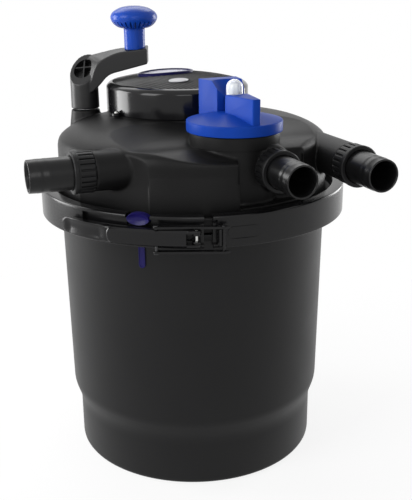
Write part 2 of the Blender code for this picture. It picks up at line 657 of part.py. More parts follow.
def make_valve():
    spot = (VALVE_X, VALVE_Y, 0)
    rotor_r = CHAMBER_R - GAP * 2
    rotor_top = NECK_Z - 0.004
    stem_top = KNOB_Z0 + STEM_GRIP
    rotor = [(0, stem_top), (STEM_R, stem_top), (STEM_R, rotor_top), (rotor_r, rotor_top)]
    rotor += [(rotor_r, CHAMBER_Z0 + GAP), (0, CHAMBER_Z0 + GAP)]
    body = turned("valve_rotor", rotor, "natural_plastic", INNER_STEPS, closed=False, centre=spot)
    cut(body, cylinder("rotor_side_way", PIPE_BORE_R, -0.060, 0.0, matrix=toward((1, -0.33, 0), (VALVE_X, VALVE_Y, PORT_Z))))
    cut(body, cylinder("rotor_down_way", OUTLET_R, 0.36, PORT_Z, centre=(VALVE_X - 0.018, VALVE_Y + 0.014, 0)))

    collar = [(COLLAR_R, COLLAR_Z1), (COLLAR_R, NECK_Z + GAP), (STEM_R + 0.006, NECK_Z + GAP)]
    collar += [(STEM_R + 0.006, NECK_Z + 0.004), (STEM_R + GAP, NECK_Z + 0.004), (STEM_R + GAP, COLLAR_Z1 - 0.002)]
    collar += [(0.040, COLLAR_Z1 - 0.002), (0.040, COLLAR_Z1)]
    turned("valve_collar", collar, "black_satin", INNER_STEPS, centre=spot)
    ring("valve_stem_seal", STEM_R + 0.0055, STEM_R + GAP, NECK_Z + 0.0008, NECK_Z + 0.0037, "rubber", PORT_STEPS,
         centre=spot)

    rim_top = KNOB_Z0 + KNOB_RIM_T
    disc = [(0, KNOB_CONE_Z), (0.022, KNOB_CONE_Z), (KNOB_R - 0.006, rim_top + 0.0005), (KNOB_R - 0.0012, rim_top)]
    disc += [(KNOB_R, rim_top - 0.0015), (KNOB_R, KNOB_Z0), (0.038, KNOB_Z0), (0.038, KNOB_Z0 - 0.002), (0, KNOB_Z0 - 0.002)]
    knob = turned("valve_knob", disc, "valve_blue", 36, closed=False, centre=spot)
    axis = Matrix.Translation(spot) @ Matrix.Rotation(math.radians(WING_DEG), 4, "Z")
    back = [(-0.056, -0.017), (-0.056, 0.017), (-0.010, 0.012), (0.006, 0.003), (-0.006, -0.014)]
    front = [(0.054, -0.015), (0.054, 0.010), (0.010, 0.011), (-0.004, 0.003), (0.004, -0.012)]
    join(knob, plate("back_wing", back, KNOB_Z0 + 0.004, WING_BACK_Z, matrix=axis))
    join(knob, plate("front_wing", front, KNOB_Z0 + 0.004, WING_FRONT_Z, matrix=axis))
    cut(knob, cylinder("dome_socket", DOME_R + GAP, 0.482, 0.52, steps=24, centre=spot))
    cut(knob, cylinder("stem_socket", STEM_R + GAP, NECK_Z, stem_top + GAP, steps=INNER_STEPS, centre=spot))

    dome_mid = DOME_Z1 - DOME_R
    shell = arc((0, dome_mid), DOME_R, 90, 0, 3) + [(DOME_R, 0.4825)]
    shell += [(DOME_R - 0.0012, 0.4825)] + arc((0, dome_mid), DOME_R - 0.0012, 0, 90, 3)
    turned("sight_dome", shell, "clear", 14, closed=False, centre=spot)
    core = [(0, dome_mid + 0.004), (0.004, dome_mid + 0.004), (0.006, dome_mid), (0.006, 0.4825), (0, 0.4825)]
    turned("sight_core", core, "white_plastic", SMALL_STEPS, closed=False, centre=spot)


def make_uv_unit():
    spot = Matrix.Translation((0, UV_Y, 0)) @ Matrix.Diagonal((1, UV_STRETCH, 1, 1))
    field = GRILLE_RX + GAP
    seat_z = UV_CROWN_Z - GRILLE_T
    shell = [(0, seat_z), (field, seat_z), (field, UV_CROWN_Z), (UV_RX - 0.008, UV_RIM_Z + 0.0025)]
    shell += [(UV_RX - 0.0015, UV_RIM_Z), (UV_RX, UV_RIM_Z - 0.002), (UV_RX, PAD_Z + GAP)]
    shell += [(UV_RX - UV_WALL, PAD_Z + GAP), (UV_RX - UV_WALL, UV_RIM_Z - 0.0025)]
    shell += [(field - 0.004, seat_z - UV_WALL), (0, seat_z - UV_WALL)]
    housing = turned("uv_housing", shell, "black_gloss", BODY_STEPS, closed=False)
    bake_matrix(housing, spot)
    for name, angle in LUG_DEG.items():
        centre = lug_spot(angle)
        low = PAD_Z + 2 * GAP
        join(housing, cylinder(name + "_lug", LUG_R, low, low + LUG_T, steps=12, centre=centre))
        cut(housing, cylinder(name + "_lug_hole", SCREW_R + GAP, PAD_Z, low + LUG_T + 0.01, steps=SMALL_STEPS,
                              centre=centre))
    pitch = 2 * GRILLE_RX / GRILLE_RIBS
    lean = Matrix.Rotation(math.radians(GRILLE_DEG), 2)
    slots = []
    for i in range(1, GRILLE_RIBS):
        offset = (i - GRILLE_RIBS / 2) * pitch
        half = math.sqrt((GRILLE_RX * 0.95) ** 2 - offset ** 2)
        ends = ((-half, -0.25), (half, -0.25), (half, 0.25), (-half, 0.25))
        corners = [lean @ Vector((x, offset + y * pitch)) for x, y in ends]
        slots.append([(corner.x, UV_Y + corner.y) for corner in corners])
    plate("uv_top_grille", ellipse((0, UV_Y), GRILLE_RX, GRILLE_RX * UV_STRETCH, BODY_STEPS), seat_z + GAP,
          UV_CROWN_Z, "black_satin", holes=slots)
    return housing


def bake_matrix(body, matrix):
    """Apply a stretch to a turned piece whose modifiers are settled first."""
    graph = bpy.context.evaluated_depsgraph_get()
    settled = bpy.data.meshes.new_from_object(body.evaluated_get(graph))
    settled.transform(matrix)
    body.modifiers.clear()
    body.data = settled


def make_lamp():
    sleeve_in = SLEEVE_R - SLEEVE_WALL
    top_z = PAD_Z + GAP + 0.003
    sleeve = [(0.0205, top_z), (0.0205, PAD_Z + GAP), (SLEEVE_R, PAD_Z + GAP)]
    sleeve += [(SLEEVE_R, SLEEVE_Z0 + 0.006), (SLEEVE_R - 0.006, SLEEVE_Z0), (0, SLEEVE_Z0)]
    sleeve += [(0, SLEEVE_Z0 + SLEEVE_WALL), (sleeve_in - 0.005, SLEEVE_Z0 + SLEEVE_WALL), (sleeve_in, SLEEVE_Z0 + 0.0065)]
    sleeve += [(sleeve_in, top_z)]
    start = sleeve[6:] + sleeve[:6]
    turned("quartz_sleeve", start, "clear", 16, closed=False)
    cylinder("lamp_holder", 0.0185, top_z + GAP, top_z + 0.016, "white_plastic", 16)
    lamp = cylinder("uv_lamp", sleeve_in - 0.0012, LAMP_BASE_Z0, top_z, "white_plastic", 16)
    for side in (-1, 1):
        x = side * (LAMP_TUBE_R + 0.0006)
        join(lamp, cylinder("lamp_tube_%d" % (side + 1), LAMP_TUBE_R, LAMP_Z0, LAMP_BASE_Z0 + 0.002, steps=SMALL_STEPS,
                            centre=(x, 0, 0)))
    join(lamp, box("lamp_bridge", (-0.004, -0.003, LAMP_Z0 + 0.004), (0.004, 0.003, LAMP_Z0 + 0.010)))
    nut_low = 0.4080
    boss_r = SLEEVE_R + SLEEVE_BOSS_T
    nut = [(boss_r + 0.0045, 0.436), (boss_r + 0.0045, nut_low), (SLEEVE_R + GAP, nut_low)]
    nut += [(SLEEVE_R + GAP, nut_low + 0.004), (boss_r + GAP, nut_low + 0.004), (boss_r + GAP, 0.436)]
    turned("sleeve_nut", nut, "black_satin", PORT_STEPS)
    ring("sleeve_seal", boss_r, SLEEVE_R + GAP, nut_low + 0.004 + GAP, SLEEVE_BOSS_Z - GAP, "rubber", 16)
    box("ballast", (-0.040, UV_Y + 0.010, PAD_Z + GAP), (0.040, UV_Y + 0.058, PAD_Z + 0.026), "black_satin")
    gland_axis = toward((0, 1, 0), (0, UV_Y + UV_RX * UV_STRETCH + GAP, GLAND_Z))
    gland = [(0.0100, 0.006), (0.0100, 0.0), (0.0040, 0.0), (0.0040, 0.016), (0.0062, 0.016), (0.0085, 0.012), (0.0085, 0.006)]
    turned("cable_gland", gland, "black_satin", 14, matrix=gland_axis)


def make_crank():
    spot = Vector((CRANK_X, CRANK_Y, 0))
    cylinder("crank_shaft", SHAFT_R, SHAFT_Z0, 0.4900, "steel", 16, centre=spot)
    bush = [(0.0125, HUB_Z0 - GAP), (0.0125, CRANK_BOSS_Z + GAP), (SHAFT_R + BUSH_T, CRANK_BOSS_Z + GAP)]
    bush += [(SHAFT_R + BUSH_T, 0.4290), (SHAFT_R + GAP, 0.4290), (SHAFT_R + GAP, HUB_Z0 - GAP)]
    turned("crank_bush", bush, "white_plastic", 16, centre=spot)
    ring("shaft_seal", SHAFT_R + BUSH_T, SHAFT_R + GAP, 0.4255, 0.4287, "rubber", 16, centre=spot)

    hub = cylinder("crank_arm", HUB_R, HUB_Z0, 0.5000, "black_satin", PORT_STEPS, centre=spot)
    heading = Matrix.Translation(spot) @ Matrix.Rotation(math.radians(ARM_DEG), 4, "Z")
    stand = Matrix(((1, 0, 0, 0), (0, 0, -1, 0), (0, 1, 0, 0), (0, 0, 0, 1)))
    slope = math.tan(math.radians(ARM_RISE_DEG))
    end = ARM_L + 0.0165
    top_end = ARM_TOP_Z + slope * 0.0165
    side = [(-HUB_R * 0.93, 0.487), (-HUB_R * 0.30, 0.4955 + 0.006), (0.012, ARM_TOP_Z - slope * (ARM_L - 0.012))]
    side += [(end - 0.002, top_end), (end, top_end - 0.002), (end, top_end - ARM_T)]
    side += [(0.030, top_end - ARM_T - slope * (end - 0.030)), (0.016, 0.485)]
    bar = plate("arm_bar", side, -ARM_W / 2, ARM_W / 2, matrix=heading @ stand)
    join(hub, bar)
    cut(hub, cylinder("hub_socket", SHAFT_R + GAP, 0.44, 0.4900 + GAP, steps=16, centre=spot))
    knob_spot = spot + Matrix.Rotation(math.radians(ARM_DEG), 3, "Z") @ Vector((ARM_L, 0, 0))
    axle_low = ARM_TOP_Z - 0.018
    cut(hub, cylinder("axle_socket", 0.0050 + GAP, axle_low - GAP, 0.55, steps=SMALL_STEPS,
                      centre=(knob_spot.x, knob_spot.y, 0)))
    cylinder("knob_axle", 0.0050, axle_low, 0.5700, "steel", SMALL_STEPS, centre=(knob_spot.x, knob_spot.y, 0))

    cap_low = CRANK_KNOB_Z1 - CRANK_KNOB_CAP_H
    stem_low = ARM_TOP_Z + slope * CRANK_STEM_R + 0.001
    profile = [(0.004, CRANK_KNOB_Z1 - 0.001), (0.016, CRANK_KNOB_Z1 - 0.002), (CRANK_KNOB_R - 0.005, CRANK_KNOB_Z1 - 0.006)]
    profile += [(CRANK_KNOB_R, CRANK_KNOB_Z1 - 0.012), (CRANK_KNOB_R, cap_low + 0.008), (CRANK_KNOB_R - 0.004, cap_low + 0.002)]
    profile += [(CRANK_STEM_R + 0.002, cap_low), (CRANK_STEM_R, cap_low - 0.004), (CRANK_STEM_R, stem_low)]
    profile += [(0.0050 + GAP, stem_low), (0.0050 + GAP, 0.5700 + RUNNING_GAP), (0.004, 0.5700 + RUNNING_GAP)]
    turned("crank_knob", profile, "crank_blue", PORT_STEPS, centre=knob_spot)


def gear_outline(teeth, module, tip_share, root_share):
    """Straight-flanked gear teeth as one outline, a tooth centred on angle zero."""
    pitch_r = teeth * module / 2
    step = 360.0 / teeth
    tip_r = pitch_r + module * 0.85
    root_r = pitch_r - module * 1.10
    points = []
    for i in range(teeth):
        middle = step * i
        for radius, share in ((root_r, -root_share), (tip_r, -tip_share), (tip_r, tip_share), (root_r, root_share)):
            points.append(polar(radius, middle + step * share).to_2d()[:])
    return points


def windows(inner, outer, count, rib_deg, points):
    """Evenly spaced ring-sector openings with ribs between them."""
    step = 360.0 / count
    return [sector(inner, outer, step * i + rib_deg, step * (i + 1) - rib_deg, points) for i in range(count)]


def make_carrier():
    heading = math.degrees(math.atan2(CRANK_Y, CRANK_X))
    spot = Vector((CRANK_X, CRANK_Y, 0))
    module = 2 * spot.length / (PINION_TEETH + CARRIER_TEETH)
    pinion_turn = heading + 180.0 + 180.0 / PINION_TEETH
    pinion_matrix = Matrix.Translation(spot) @ Matrix.Rotation(math.radians(pinion_turn), 4, "Z")
    shaft_hole = arc((0, 0), SHAFT_R + GAP, 0, 345, 23)
    plate("crank_pinion", gear_outline(PINION_TEETH, module, 0.10, 0.30), GEAR_Z0,
          GEAR_Z0 + GEAR_T + 0.003, "white_plastic", pinion_matrix, [shaft_hole])
    tube_hole = arc((0, 0), (TUBE_R + GAP) / math.cos(math.pi / 24), 0, 345, 23)
    plate("carrier_gear", gear_outline(CARRIER_TEETH, module, 0.11, 0.29), GEAR_Z0, GEAR_Z0 + GEAR_T,
          "natural_plastic", Matrix.Rotation(math.radians(heading), 4, "Z"),
          [tube_hole, *windows(TUBE_R + 0.012, GEAR_RIM_IN_R, 6, 5, 5)])
    base_top = CARRIER_Z0 + CARRIER_BASE_T
    hub_hole = arc((0, 0), GRID_HUB_R + RUNNING_GAP, 0, 342, 19)
    plate("carrier_base", arc((0, 0), FOAM_R + 0.002, 0, 360 - 360 / INNER_STEPS, INNER_STEPS - 1), CARRIER_Z0, base_top,
          "natural_plastic", holes=[hub_hole, *windows(TUBE_R + 0.012, FOAM_R - 0.012, 6, 6, 4)])
    tube = ring("carrier_tube", TUBE_R, TUBE_R - TUBE_WALL, base_top + GAP, GEAR_Z0 + GEAR_T, "natural_plastic", 24)
    for i in range(4):
        slot = box("tube_slots_%d" % i, (-0.09, -0.006, 0.13), (0.09, 0.006, 0.33),
                   matrix=Matrix.Rotation(math.radians(45 * i + 7.5), 4, "Z"))
        cut(tube, slot)
    height = (GEAR_Z0 - base_top) / FOAM_COUNT
    for i in range(FOAM_COUNT):
        low = base_top + height * i + GAP
        finish = "foam_blue" if i % 2 == 0 else "foam_black"
        ring("foam_ring_%d" % (i + 1), FOAM_R, TUBE_R + GAP, low, low + height - GAP * 2, finish, 24)

    grid_r = UPPER_R - CANISTER_WALL - GAP
    hub_bore = 0.008
    rim = arc((0, 0), grid_r, 0, 360 - 360 / BODY_STEPS, BODY_STEPS - 1)
    grid = plate("media_grid", rim, STEP_TOP_Z + GAP, STEP_TOP_Z + GAP + GRID_T, "black_satin",
                 holes=[arc((0, 0), hub_bore, 0, 330, 11), *windows(0.040, 0.150, 6, 5, 4)])
    join(grid, ring("grid_hub", GRID_HUB_R, hub_bore - 0.001, STEP_TOP_Z + 0.001, CARRIER_Z0 + 0.008, steps=20))
    bag_top = STEP_TOP_Z - 0.004
    bag = [(0, bag_top), (0.135, bag_top), (0.154, bag_top - 0.014), (0.154, FLOOR_T + 0.010)]
    bag += [(0.146, FLOOR_T + GAP), (0, FLOOR_T + GAP)]
    turned("bio_media_bag", bag, "media", INNER_STEPS, closed=False)


def make_trim():
    head_z = PAD_Z + 2 * GAP + LUG_T + GAP
    for name, angle in LUG_DEG.items():
        screw = [(0, head_z + SCREW_HEAD_T), (SCREW_HEAD_R * 0.6, head_z + SCREW_HEAD_T)]
        screw += [(SCREW_HEAD_R, head_z + SCREW_HEAD_T * 0.5), (SCREW_HEAD_R, head_z), (SCREW_R, head_z)]
        screw += [(SCREW_R, PAD_Z - SCREW_GRIP), (0, PAD_Z - SCREW_GRIP)]
        turned("housing_screw_" + name, screw, "steel", SMALL_STEPS, closed=False, centre=lug_spot(angle))
    plate("badge_plate", ellipse((-0.040, UV_Y - 0.004), 0.030, 0.0105, 24), UV_CROWN_Z + GAP, UV_CROWN_Z + 0.0014, "index_blue")
    plate("indicator_window", ellipse((-0.018, UV_Y - 0.050), 0.0125, 0.0075, 20), UV_CROWN_Z + GAP, UV_CROWN_Z + 0.0016, "clear")


def main():
    make_canister()
    make_clamp_band()
    make_index_marks()
    make_latch()
    make_lid()
    make_port("left", (LEFT_NUT_X, LEFT_PORT_Y, PORT_Z), (-1, 0, 0))
    make_port("front", (FRONT_PORT_X, FRONT_NUT_Y, PORT_Z), (0, -1, 0))
    make_port("right", (RIGHT_PORT_X, RIGHT_NUT_Y, PORT_Z), (0, -1, 0))
    make_valve()
    make_uv_unit()
    make_lamp()
    make_crank()
    make_carrier()
    make_trim()


main()
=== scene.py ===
"""Looks of a pressure pond filter with a built-in UV clarifier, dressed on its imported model.

Lengths are in metres, +Z is up and the canister's foot stands at the origin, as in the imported
model. Every outline is written as (radius, z) or (x, y) points; a third number on a point is the
length that its corner is eased over.
"""
import json
import logging
import math
from dataclasses import dataclass, field
from enum import Enum
from typing import Any, Iterable, Sequence, Union

import bmesh
import bpy
from mathutils import Matrix, Vector


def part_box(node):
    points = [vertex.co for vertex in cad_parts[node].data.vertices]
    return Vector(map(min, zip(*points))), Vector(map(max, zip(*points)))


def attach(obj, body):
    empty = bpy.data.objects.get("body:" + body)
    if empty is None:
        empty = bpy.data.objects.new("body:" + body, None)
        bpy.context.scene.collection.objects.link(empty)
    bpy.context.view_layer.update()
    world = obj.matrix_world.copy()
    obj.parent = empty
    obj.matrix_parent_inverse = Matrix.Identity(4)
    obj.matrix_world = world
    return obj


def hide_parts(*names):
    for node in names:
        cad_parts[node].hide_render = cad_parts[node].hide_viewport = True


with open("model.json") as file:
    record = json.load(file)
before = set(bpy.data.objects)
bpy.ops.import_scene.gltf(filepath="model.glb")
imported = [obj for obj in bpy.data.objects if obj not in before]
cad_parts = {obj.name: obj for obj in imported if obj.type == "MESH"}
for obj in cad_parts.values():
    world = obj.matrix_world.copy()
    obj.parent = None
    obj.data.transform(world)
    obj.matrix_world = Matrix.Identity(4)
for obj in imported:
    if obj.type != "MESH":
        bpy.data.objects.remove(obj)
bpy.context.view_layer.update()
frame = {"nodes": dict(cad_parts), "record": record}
LOG = logging.getLogger("pond_filter")

Outline = Sequence[tuple[float, ...]]
Point = Sequence[float]
Points = list[tuple[float, float]]
Owner = Union[bpy.types.Material, bpy.types.World]
Colour = tuple[float, float, float]

GAP = 0.0003
SHARP_DEG = 36.0
TURN_STEPS = 128
SMALL_STEPS = 40
SCREWS = ("housing_screw_left", "housing_screw_right", "housing_screw_rear")
SCREW_BOSS_R = 0.0062
SCREW_WAY_R = 0.0019


class Body(Enum):
    """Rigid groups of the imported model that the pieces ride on."""

    FILTER = "filter_body"
    VALVE = "valve"
    CRANK = "crank"
    GRIP = "crank_grip"
    LEVER = "lever"
    LINK = "link"
    NUT_LEFT = "nut_left"
    NUT_FRONT = "nut_front"
    NUT_RIGHT = "nut_right"


class Slot(Enum):
    """Material slots of the record that the pieces take their finish from."""

    SATIN = "black_satin"
    GRAIN = "black_grain"
    GLOSS = "black_gloss"
    VALVE_BLUE = "valve_blue"
    CRANK_BLUE = "crank_blue"
    INDEX_BLUE = "index_blue"
    STEEL = "steel"
    RUBBER = "rubber"
    CLEAR = "clear"
    WHITE = "white_plastic"
    NATURAL = "natural_plastic"
    FOAM_BLUE = "foam_blue"
    FOAM_BLACK = "foam_black"
    MEDIA = "media"


class Wire:
    """A value in a material's node tree, on which arithmetic adds Math nodes."""

    def __init__(self, board: "Board", socket: bpy.types.NodeSocket) -> None:
        """Wrap one output socket of a board."""
        self.board = board
        self.socket = socket

    def _math(self, operation: str, left: "Value", right: "Value") -> "Wire":
        """Add one Math node on two values."""
        return self.board.node("ShaderNodeMath", {"operation": operation}, {0: left, 1: right})

    def __add__(self, other: "Value") -> "Wire":
        """Sum."""
        return self._math("ADD", self, other)

    __radd__ = __add__

    def __sub__(self, other: "Value") -> "Wire":
        """Difference."""
        return self._math("SUBTRACT", self, other)

    def __rsub__(self, other: "Value") -> "Wire":
        """Difference with the value on the right."""
        return self._math("SUBTRACT", other, self)

    def __mul__(self, other: "Value") -> "Wire":
        """Product."""
        return self._math("MULTIPLY", self, other)

    __rmul__ = __mul__

    def highest(self, other: "Value") -> "Wire":
        """The larger of two values."""
        return self._math("MAXIMUM", self, other)


Value = Union[Wire, float, Sequence[float]]


class Board:
    """The node tree of one material or world, built from a few kinds of node."""

    def __init__(self, owner: Owner) -> None:
        """Take over the tree of a material or a world.

        Args:
            owner: what the tree belongs to; its default nodes stay.
        """
        owner.use_nodes = True
        self.owner = owner
        self.tree = owner.node_tree
        self.shader = self.tree.nodes.get("Principled BSDF")

    def node(self, kind: str, settings: dict[str, Any] | None = None,
             inputs: dict[Any, Value] | None = None, output: int | str = 0) -> Wire:
        """Add one node.

        Args:
            kind: Blender's type name of the node.
            settings: attributes set before the sockets; "stops" fills a colour ramp.
            inputs: values or wires by socket name or number.
            output: the output that is returned.

        Returns:
            The chosen output as a wire.
        """
        made = self.tree.nodes.new(kind)
        for key, value in (settings or {}).items():
            if key == "stops":
                ramp = made.color_ramp
                while len(ramp.elements) < len(value):
                    ramp.elements.new(1.0)
                for element, (place, shade) in zip(ramp.elements, value):
                    element.position = place
                    element.color = (shade, shade, shade, 1.0)
            else:
                setattr(made, key, value)
        for key, value in (inputs or {}).items():
            self.feed(made.inputs[key], value)
        return Wire(self, made.outputs[output])

    def feed(self, socket: bpy.types.NodeSocket, value: Value) -> None:
        """Link a wire to a socket, or write a plain value on it.

        Args:
            socket: input socket of a node.
            value: wire, number, vector or colour.
        """
        if isinstance(value, Wire):
            self.tree.links.new(value.socket, socket)
        elif isinstance(value, (tuple, list)) and len(socket.default_value) == len(value) + 1:
            socket.default_value = (*value, 1.0)
        else:
            socket.default_value = value

    def set(self, **inputs: Value) -> None:
        """Feed the Principled shader; underscores in the names stand for spaces."""
        for key, value in inputs.items():
            self.feed(self.shader.inputs[key.replace("_", " ")], value)

    def place(self) -> Wire:
        """Position on the object, in metres."""
        return self.node("ShaderNodeTexCoord", output="Object")

    def noise(self, size: float, detail: float = 2.0, stretch: Colour = (1, 1, 1)) -> Wire:
        """Noise from 0 to 1.

        Args:
            size: size of a blotch in metres.
            detail: number of finer layers.
            stretch: scale of the three axes.

        Returns:
            The noise as a wire.
        """
        where = self.node("ShaderNodeMapping", inputs={"Vector": self.place(), "Scale": stretch})
        return self.node("ShaderNodeTexNoise", None,
                         {"Vector": where, "Scale": 1.0 / size, "Detail": detail}, "Fac")

    def ramp(self, value: Value, *stops: tuple[float, float]) -> Wire:
        """Map a value through (place, shade) stops."""
        return self.node("ShaderNodeValToRGB", {"stops": stops}, {0: value})

    def blend(self, factor: Value, first: Value, second: Value) -> Wire:
        """Mix two colours."""
        return self.node("ShaderNodeMix", {"data_type": "RGBA"}, {0: factor, 6: first, 7: second}, 2)

    def bump(self, height: Value, depth: float, strength: float = 1.0) -> Wire:
        """Turn a height from 0 to 1 into a normal."""
        return self.node("ShaderNodeBump", None, {"Height": height, "Distance": depth, "Strength": strength})


def scaled(colour: Colour, share: float) -> Colour:
    """A colour made lighter or darker."""
    return tuple(min(1.0, part * share) for part in colour)


@dataclass(frozen=True)
class Moulded:
    """Moulded plastic with a fine grain, a cloudy gloss and a painted highlight that lightens its convex
    edges.
    """

    name: str
    colour: Colour
    roughness: float
    grain: float = 0.0011
    relief: float = 0.00006
    specular: float = 0.30
    coat: float = 0.0
    # share of the painted highlight that lightens convex edges
    edge_highlight: float = 0.35

    def build(self) -> bpy.types.Material:
        """Make the material."""
        board = Board(bpy.data.materials.new(self.name))
        cloud = board.ramp(board.noise(0.07, 3.0), (0.30, 0.0), (0.72, 1.0))
        speckle = board.noise(self.grain, 3.0)
        # painted highlight: convex edges, found by pointiness, are blended towards 2.2 times the colour
        edge = board.node("ShaderNodeNewGeometry", output="Pointiness")
        edge_highlight_mask = board.ramp(edge, (0.52, 0.0), (0.60, 1.0))
        body = board.blend(cloud, scaled(self.colour, 0.92), scaled(self.colour, 1.10))
        body = board.blend(edge_highlight_mask * self.edge_highlight, body, scaled(self.colour, 2.2))
        rough = self.roughness + (cloud - 0.5) * (0.15 * self.roughness)
        rough += (speckle - 0.5) * (0.12 * self.roughness)
        normal = board.bump(speckle, self.relief, 0.8)
        board.set(Base_Color=body, Roughness=rough, Normal=normal)
        board.set(Specular_IOR_Level=self.specular, Coat_Weight=self.coat, Coat_Roughness=0.06)
        return board.owner


@dataclass(frozen=True)
class Steel:
    """Stainless steel with fine turning marks."""

    name: str
    colour: Colour = (0.62, 0.62, 0.60)

    def build(self) -> bpy.types.Material:
        """Make the material."""
        board = Board(bpy.data.materials.new(self.name))
        marks = board.noise(0.0006, 2.0, (1.0, 1.0, 14.0))
        smear = board.noise(0.01, 2.0)
        board.set(Base_Color=board.blend(smear, scaled(self.colour, 0.82), self.colour), Metallic=1.0)
        board.set(Roughness=0.22 + marks * 0.16, Normal=board.bump(marks, 0.00003, 0.5))
        return board.owner


@dataclass(frozen=True)
class Clear:
    """Clear plastic or quartz with a few faint smears."""

    name: str
    colour: Colour = (0.93, 0.95, 0.97)

    def build(self) -> bpy.types.Material:
        """Make the material."""
        board = Board(bpy.data.materials.new(self.name))
        smear = board.noise(0.006, 2.0)
        board.set(Base_Color=self.colour, Roughness=0.03 + smear * 0.07, IOR=1.33)
        board.set(Transmission_Weight=0.62)
        return board.owner


@dataclass(frozen=True)
class Foam:
    """Open-cell filter foam."""

    name: str
    colour: Colour
    cell: float

    def build(self) -> bpy.types.Material:
        """Make the material."""
        board = Board(bpy.data.materials.new(self.name))
        cells = board.node("ShaderNodeTexVoronoi", {"feature": "DISTANCE_TO_EDGE"},
                           {"Vector": board.place(), "Scale": 1.0 / self.cell}, "Distance")
        wall = board.ramp(cells, (0.05, 1.0), (0.22, 0.0))
        body = board.blend(wall, scaled(self.colour, 0.25), self.colour)
        board.set(Base_Color=body, Roughness=0.95, Normal=board.bump(wall, self.cell * 0.6))
        return board.owner


@dataclass(frozen=True)
class NetBag:
    """Net bag over a bed of small carrier rings."""

    name: str
    colour: Colour

    def build(self) -> bpy.types.Material:
        """Make the material."""
        board = Board(bpy.data.materials.new(self.name))
        lumps = board.node("ShaderNodeTexVoronoi", None,
                           {"Vector": board.place(), "Scale": 1.0 / 0.014}, "Distance")
        shade = board.ramp(lumps, (0.0, 1.0), (0.8, 0.2))
        body = board.blend(shade, scaled(self.colour, 0.35), self.colour)
        board.set(Base_Color=body, Roughness=0.9, Normal=board.bump(shade, 0.003))
        return board.owner


FINISHES = {
    Slot.SATIN: Moulded("satin_black", (0.0048, 0.0048, 0.0051), 0.43, 0.0011, 0.00005, 0.19, 0.0, 0.15),
    Slot.GRAIN: Moulded("grained_black", (0.0048, 0.0047, 0.0048), 0.42, 0.0012, 0.00020, 0.13, 0.0, 0.15),
    Slot.GLOSS: Moulded("gloss_black", (0.0035, 0.0034, 0.0040), 0.15, 0.004, 0.00001, 0.30, 0.0, 0.0),
    Slot.VALVE_BLUE: Moulded("valve_blue", (0.0060, 0.043, 0.305), 0.38, 0.002, 0.00001, 0.06, 0.0, 0.03),
    Slot.CRANK_BLUE: Moulded("crank_blue", (0.0060, 0.049, 0.340), 0.24, 0.003, 0.00001, 0.18, 0.0, 0.03),
    Slot.INDEX_BLUE: Moulded("index_blue", (0.0095, 0.0070, 0.075), 0.30, 0.002, 0.00001, 0.15, 0.0, 0.0),
    Slot.STEEL: Steel("stainless"),
    Slot.RUBBER: Moulded("rubber", (0.012, 0.012, 0.012), 0.75, 0.001, 0.00005, 0.3),
    Slot.CLEAR: Clear("clear"),
    Slot.WHITE: Moulded("white_plastic", (0.78, 0.79, 0.80), 0.30, 0.003, 0.00001, 0.5, 0.0, 0.0),
    Slot.NATURAL: Moulded("natural_plastic", (0.52, 0.52, 0.48), 0.45, 0.002, 0.00003, 0.4, 0.0, 0.1),
    Slot.FOAM_BLUE: Foam("coarse_foam", (0.05, 0.16, 0.42), 0.0035),
    Slot.FOAM_BLACK: Foam("fine_foam", (0.03, 0.03, 0.03), 0.0018),
    Slot.MEDIA: NetBag("media_bag", (0.35, 0.30, 0.22)),
}
SMOOTH_BLACK = Moulded("smooth_black", (0.0040, 0.0039, 0.0043), 0.22, 0.003, 0.00001, 0.24, 0.0, 0.0)
TAIL_BLACK = Moulded("tail_black", (0.0045, 0.0045, 0.0047), 0.30, 0.004, 0.00001, 0.24, 0.0, 0.0)
# painted shade: the panel between the ribs is the ribs' black plastic made about five times darker and almost
# without gloss
PANEL_PAINTED_SHADE = Moulded("panel_painted_shade", (0.0010, 0.0010, 0.0011), 0.60, 0.003, 0.00001, 0.02, 0.0, 0.0)
# painted highlight: the rib tops are the same black plastic made about five times lighter
RIDGE_PAINTED_HIGHLIGHT = Moulded("ridge_painted_highlight", (0.0260, 0.0260, 0.0265), 0.34, 0.003, 0.00001, 0.16, 0.0, 0.0)
ARM_BLACK = Moulded("arm_black", (0.0075, 0.0075, 0.0078), 0.40, 0.0011, 0.00004, 0.34, 0.0, 0.15)
PLATE_GREY = Moulded("plate_grey", (0.56, 0.56, 0.66), 0.30, 0.004, 0.00001, 0.4, 0.2, 0.0)
LENS_GREY = Moulded("lens_grey", (0.46, 0.46, 0.48), 0.35, 0.0022, 0.0002, 0.4, 0.1, 0.0)
INDEX_EDGE = Moulded("plate_edge", (0.0065, 0.0055, 0.060), 0.30, 0.003, 0.00001, 0.15, 0.0, 0.0)
DARK_STEEL = Steel("blackened_steel", (0.06, 0.06, 0.062))
DULL_STEEL = Steel("screw_steel", (0.30, 0.30, 0.29))


class Palette:
    """Finishes made once and handed out as materials."""

    def __init__(self) -> None:
        """Start with no material made."""
        self.made: dict[str, bpy.types.Material] = {}

    def get(self, finish: Any) -> bpy.types.Material:
        """The material of a finish, made on its first use.

        Args:
            finish: the finish.

        Returns:
            Its material.
        """
        if finish.name not in self.made:
            self.made[finish.name] = finish.build()
        return self.made[finish.name]


PALETTE = Palette()


def eased(points: Outline, closed: bool = True, segments: int = 4) -> list[tuple[float, float]]:
    """Outline with its marked corners eased into curves.

    Args:
        points: outline points; a third number is the length that the corner is eased over.
        closed: whether the last point joins the first.
        segments: straight pieces of each eased corner.

    Returns:
        The outline as plain (x, y) points.
    """
    made = []
    count = len(points)
    for i, point in enumerate(points):
        corner = Vector(point[:2])
        inner = closed or 0 < i < count - 1
        if len(point) < 3 or not inner:
            made.append(corner[:])
            continue
        before = Vector(points[i - 1][:2]) - corner
        after = Vector(points[(i + 1) % count][:2]) - corner
        trim = min(point[2], before.length * 0.49, after.length * 0.49)
        start = corner + before.normalized() * trim
        end = corner + after.normalized() * trim
        for step in range(segments + 1):
            t = step / segments
            made.append(((1 - t) ** 2 * start + 2 * t * (1 - t) * corner + t * t * end)[:])
    return made


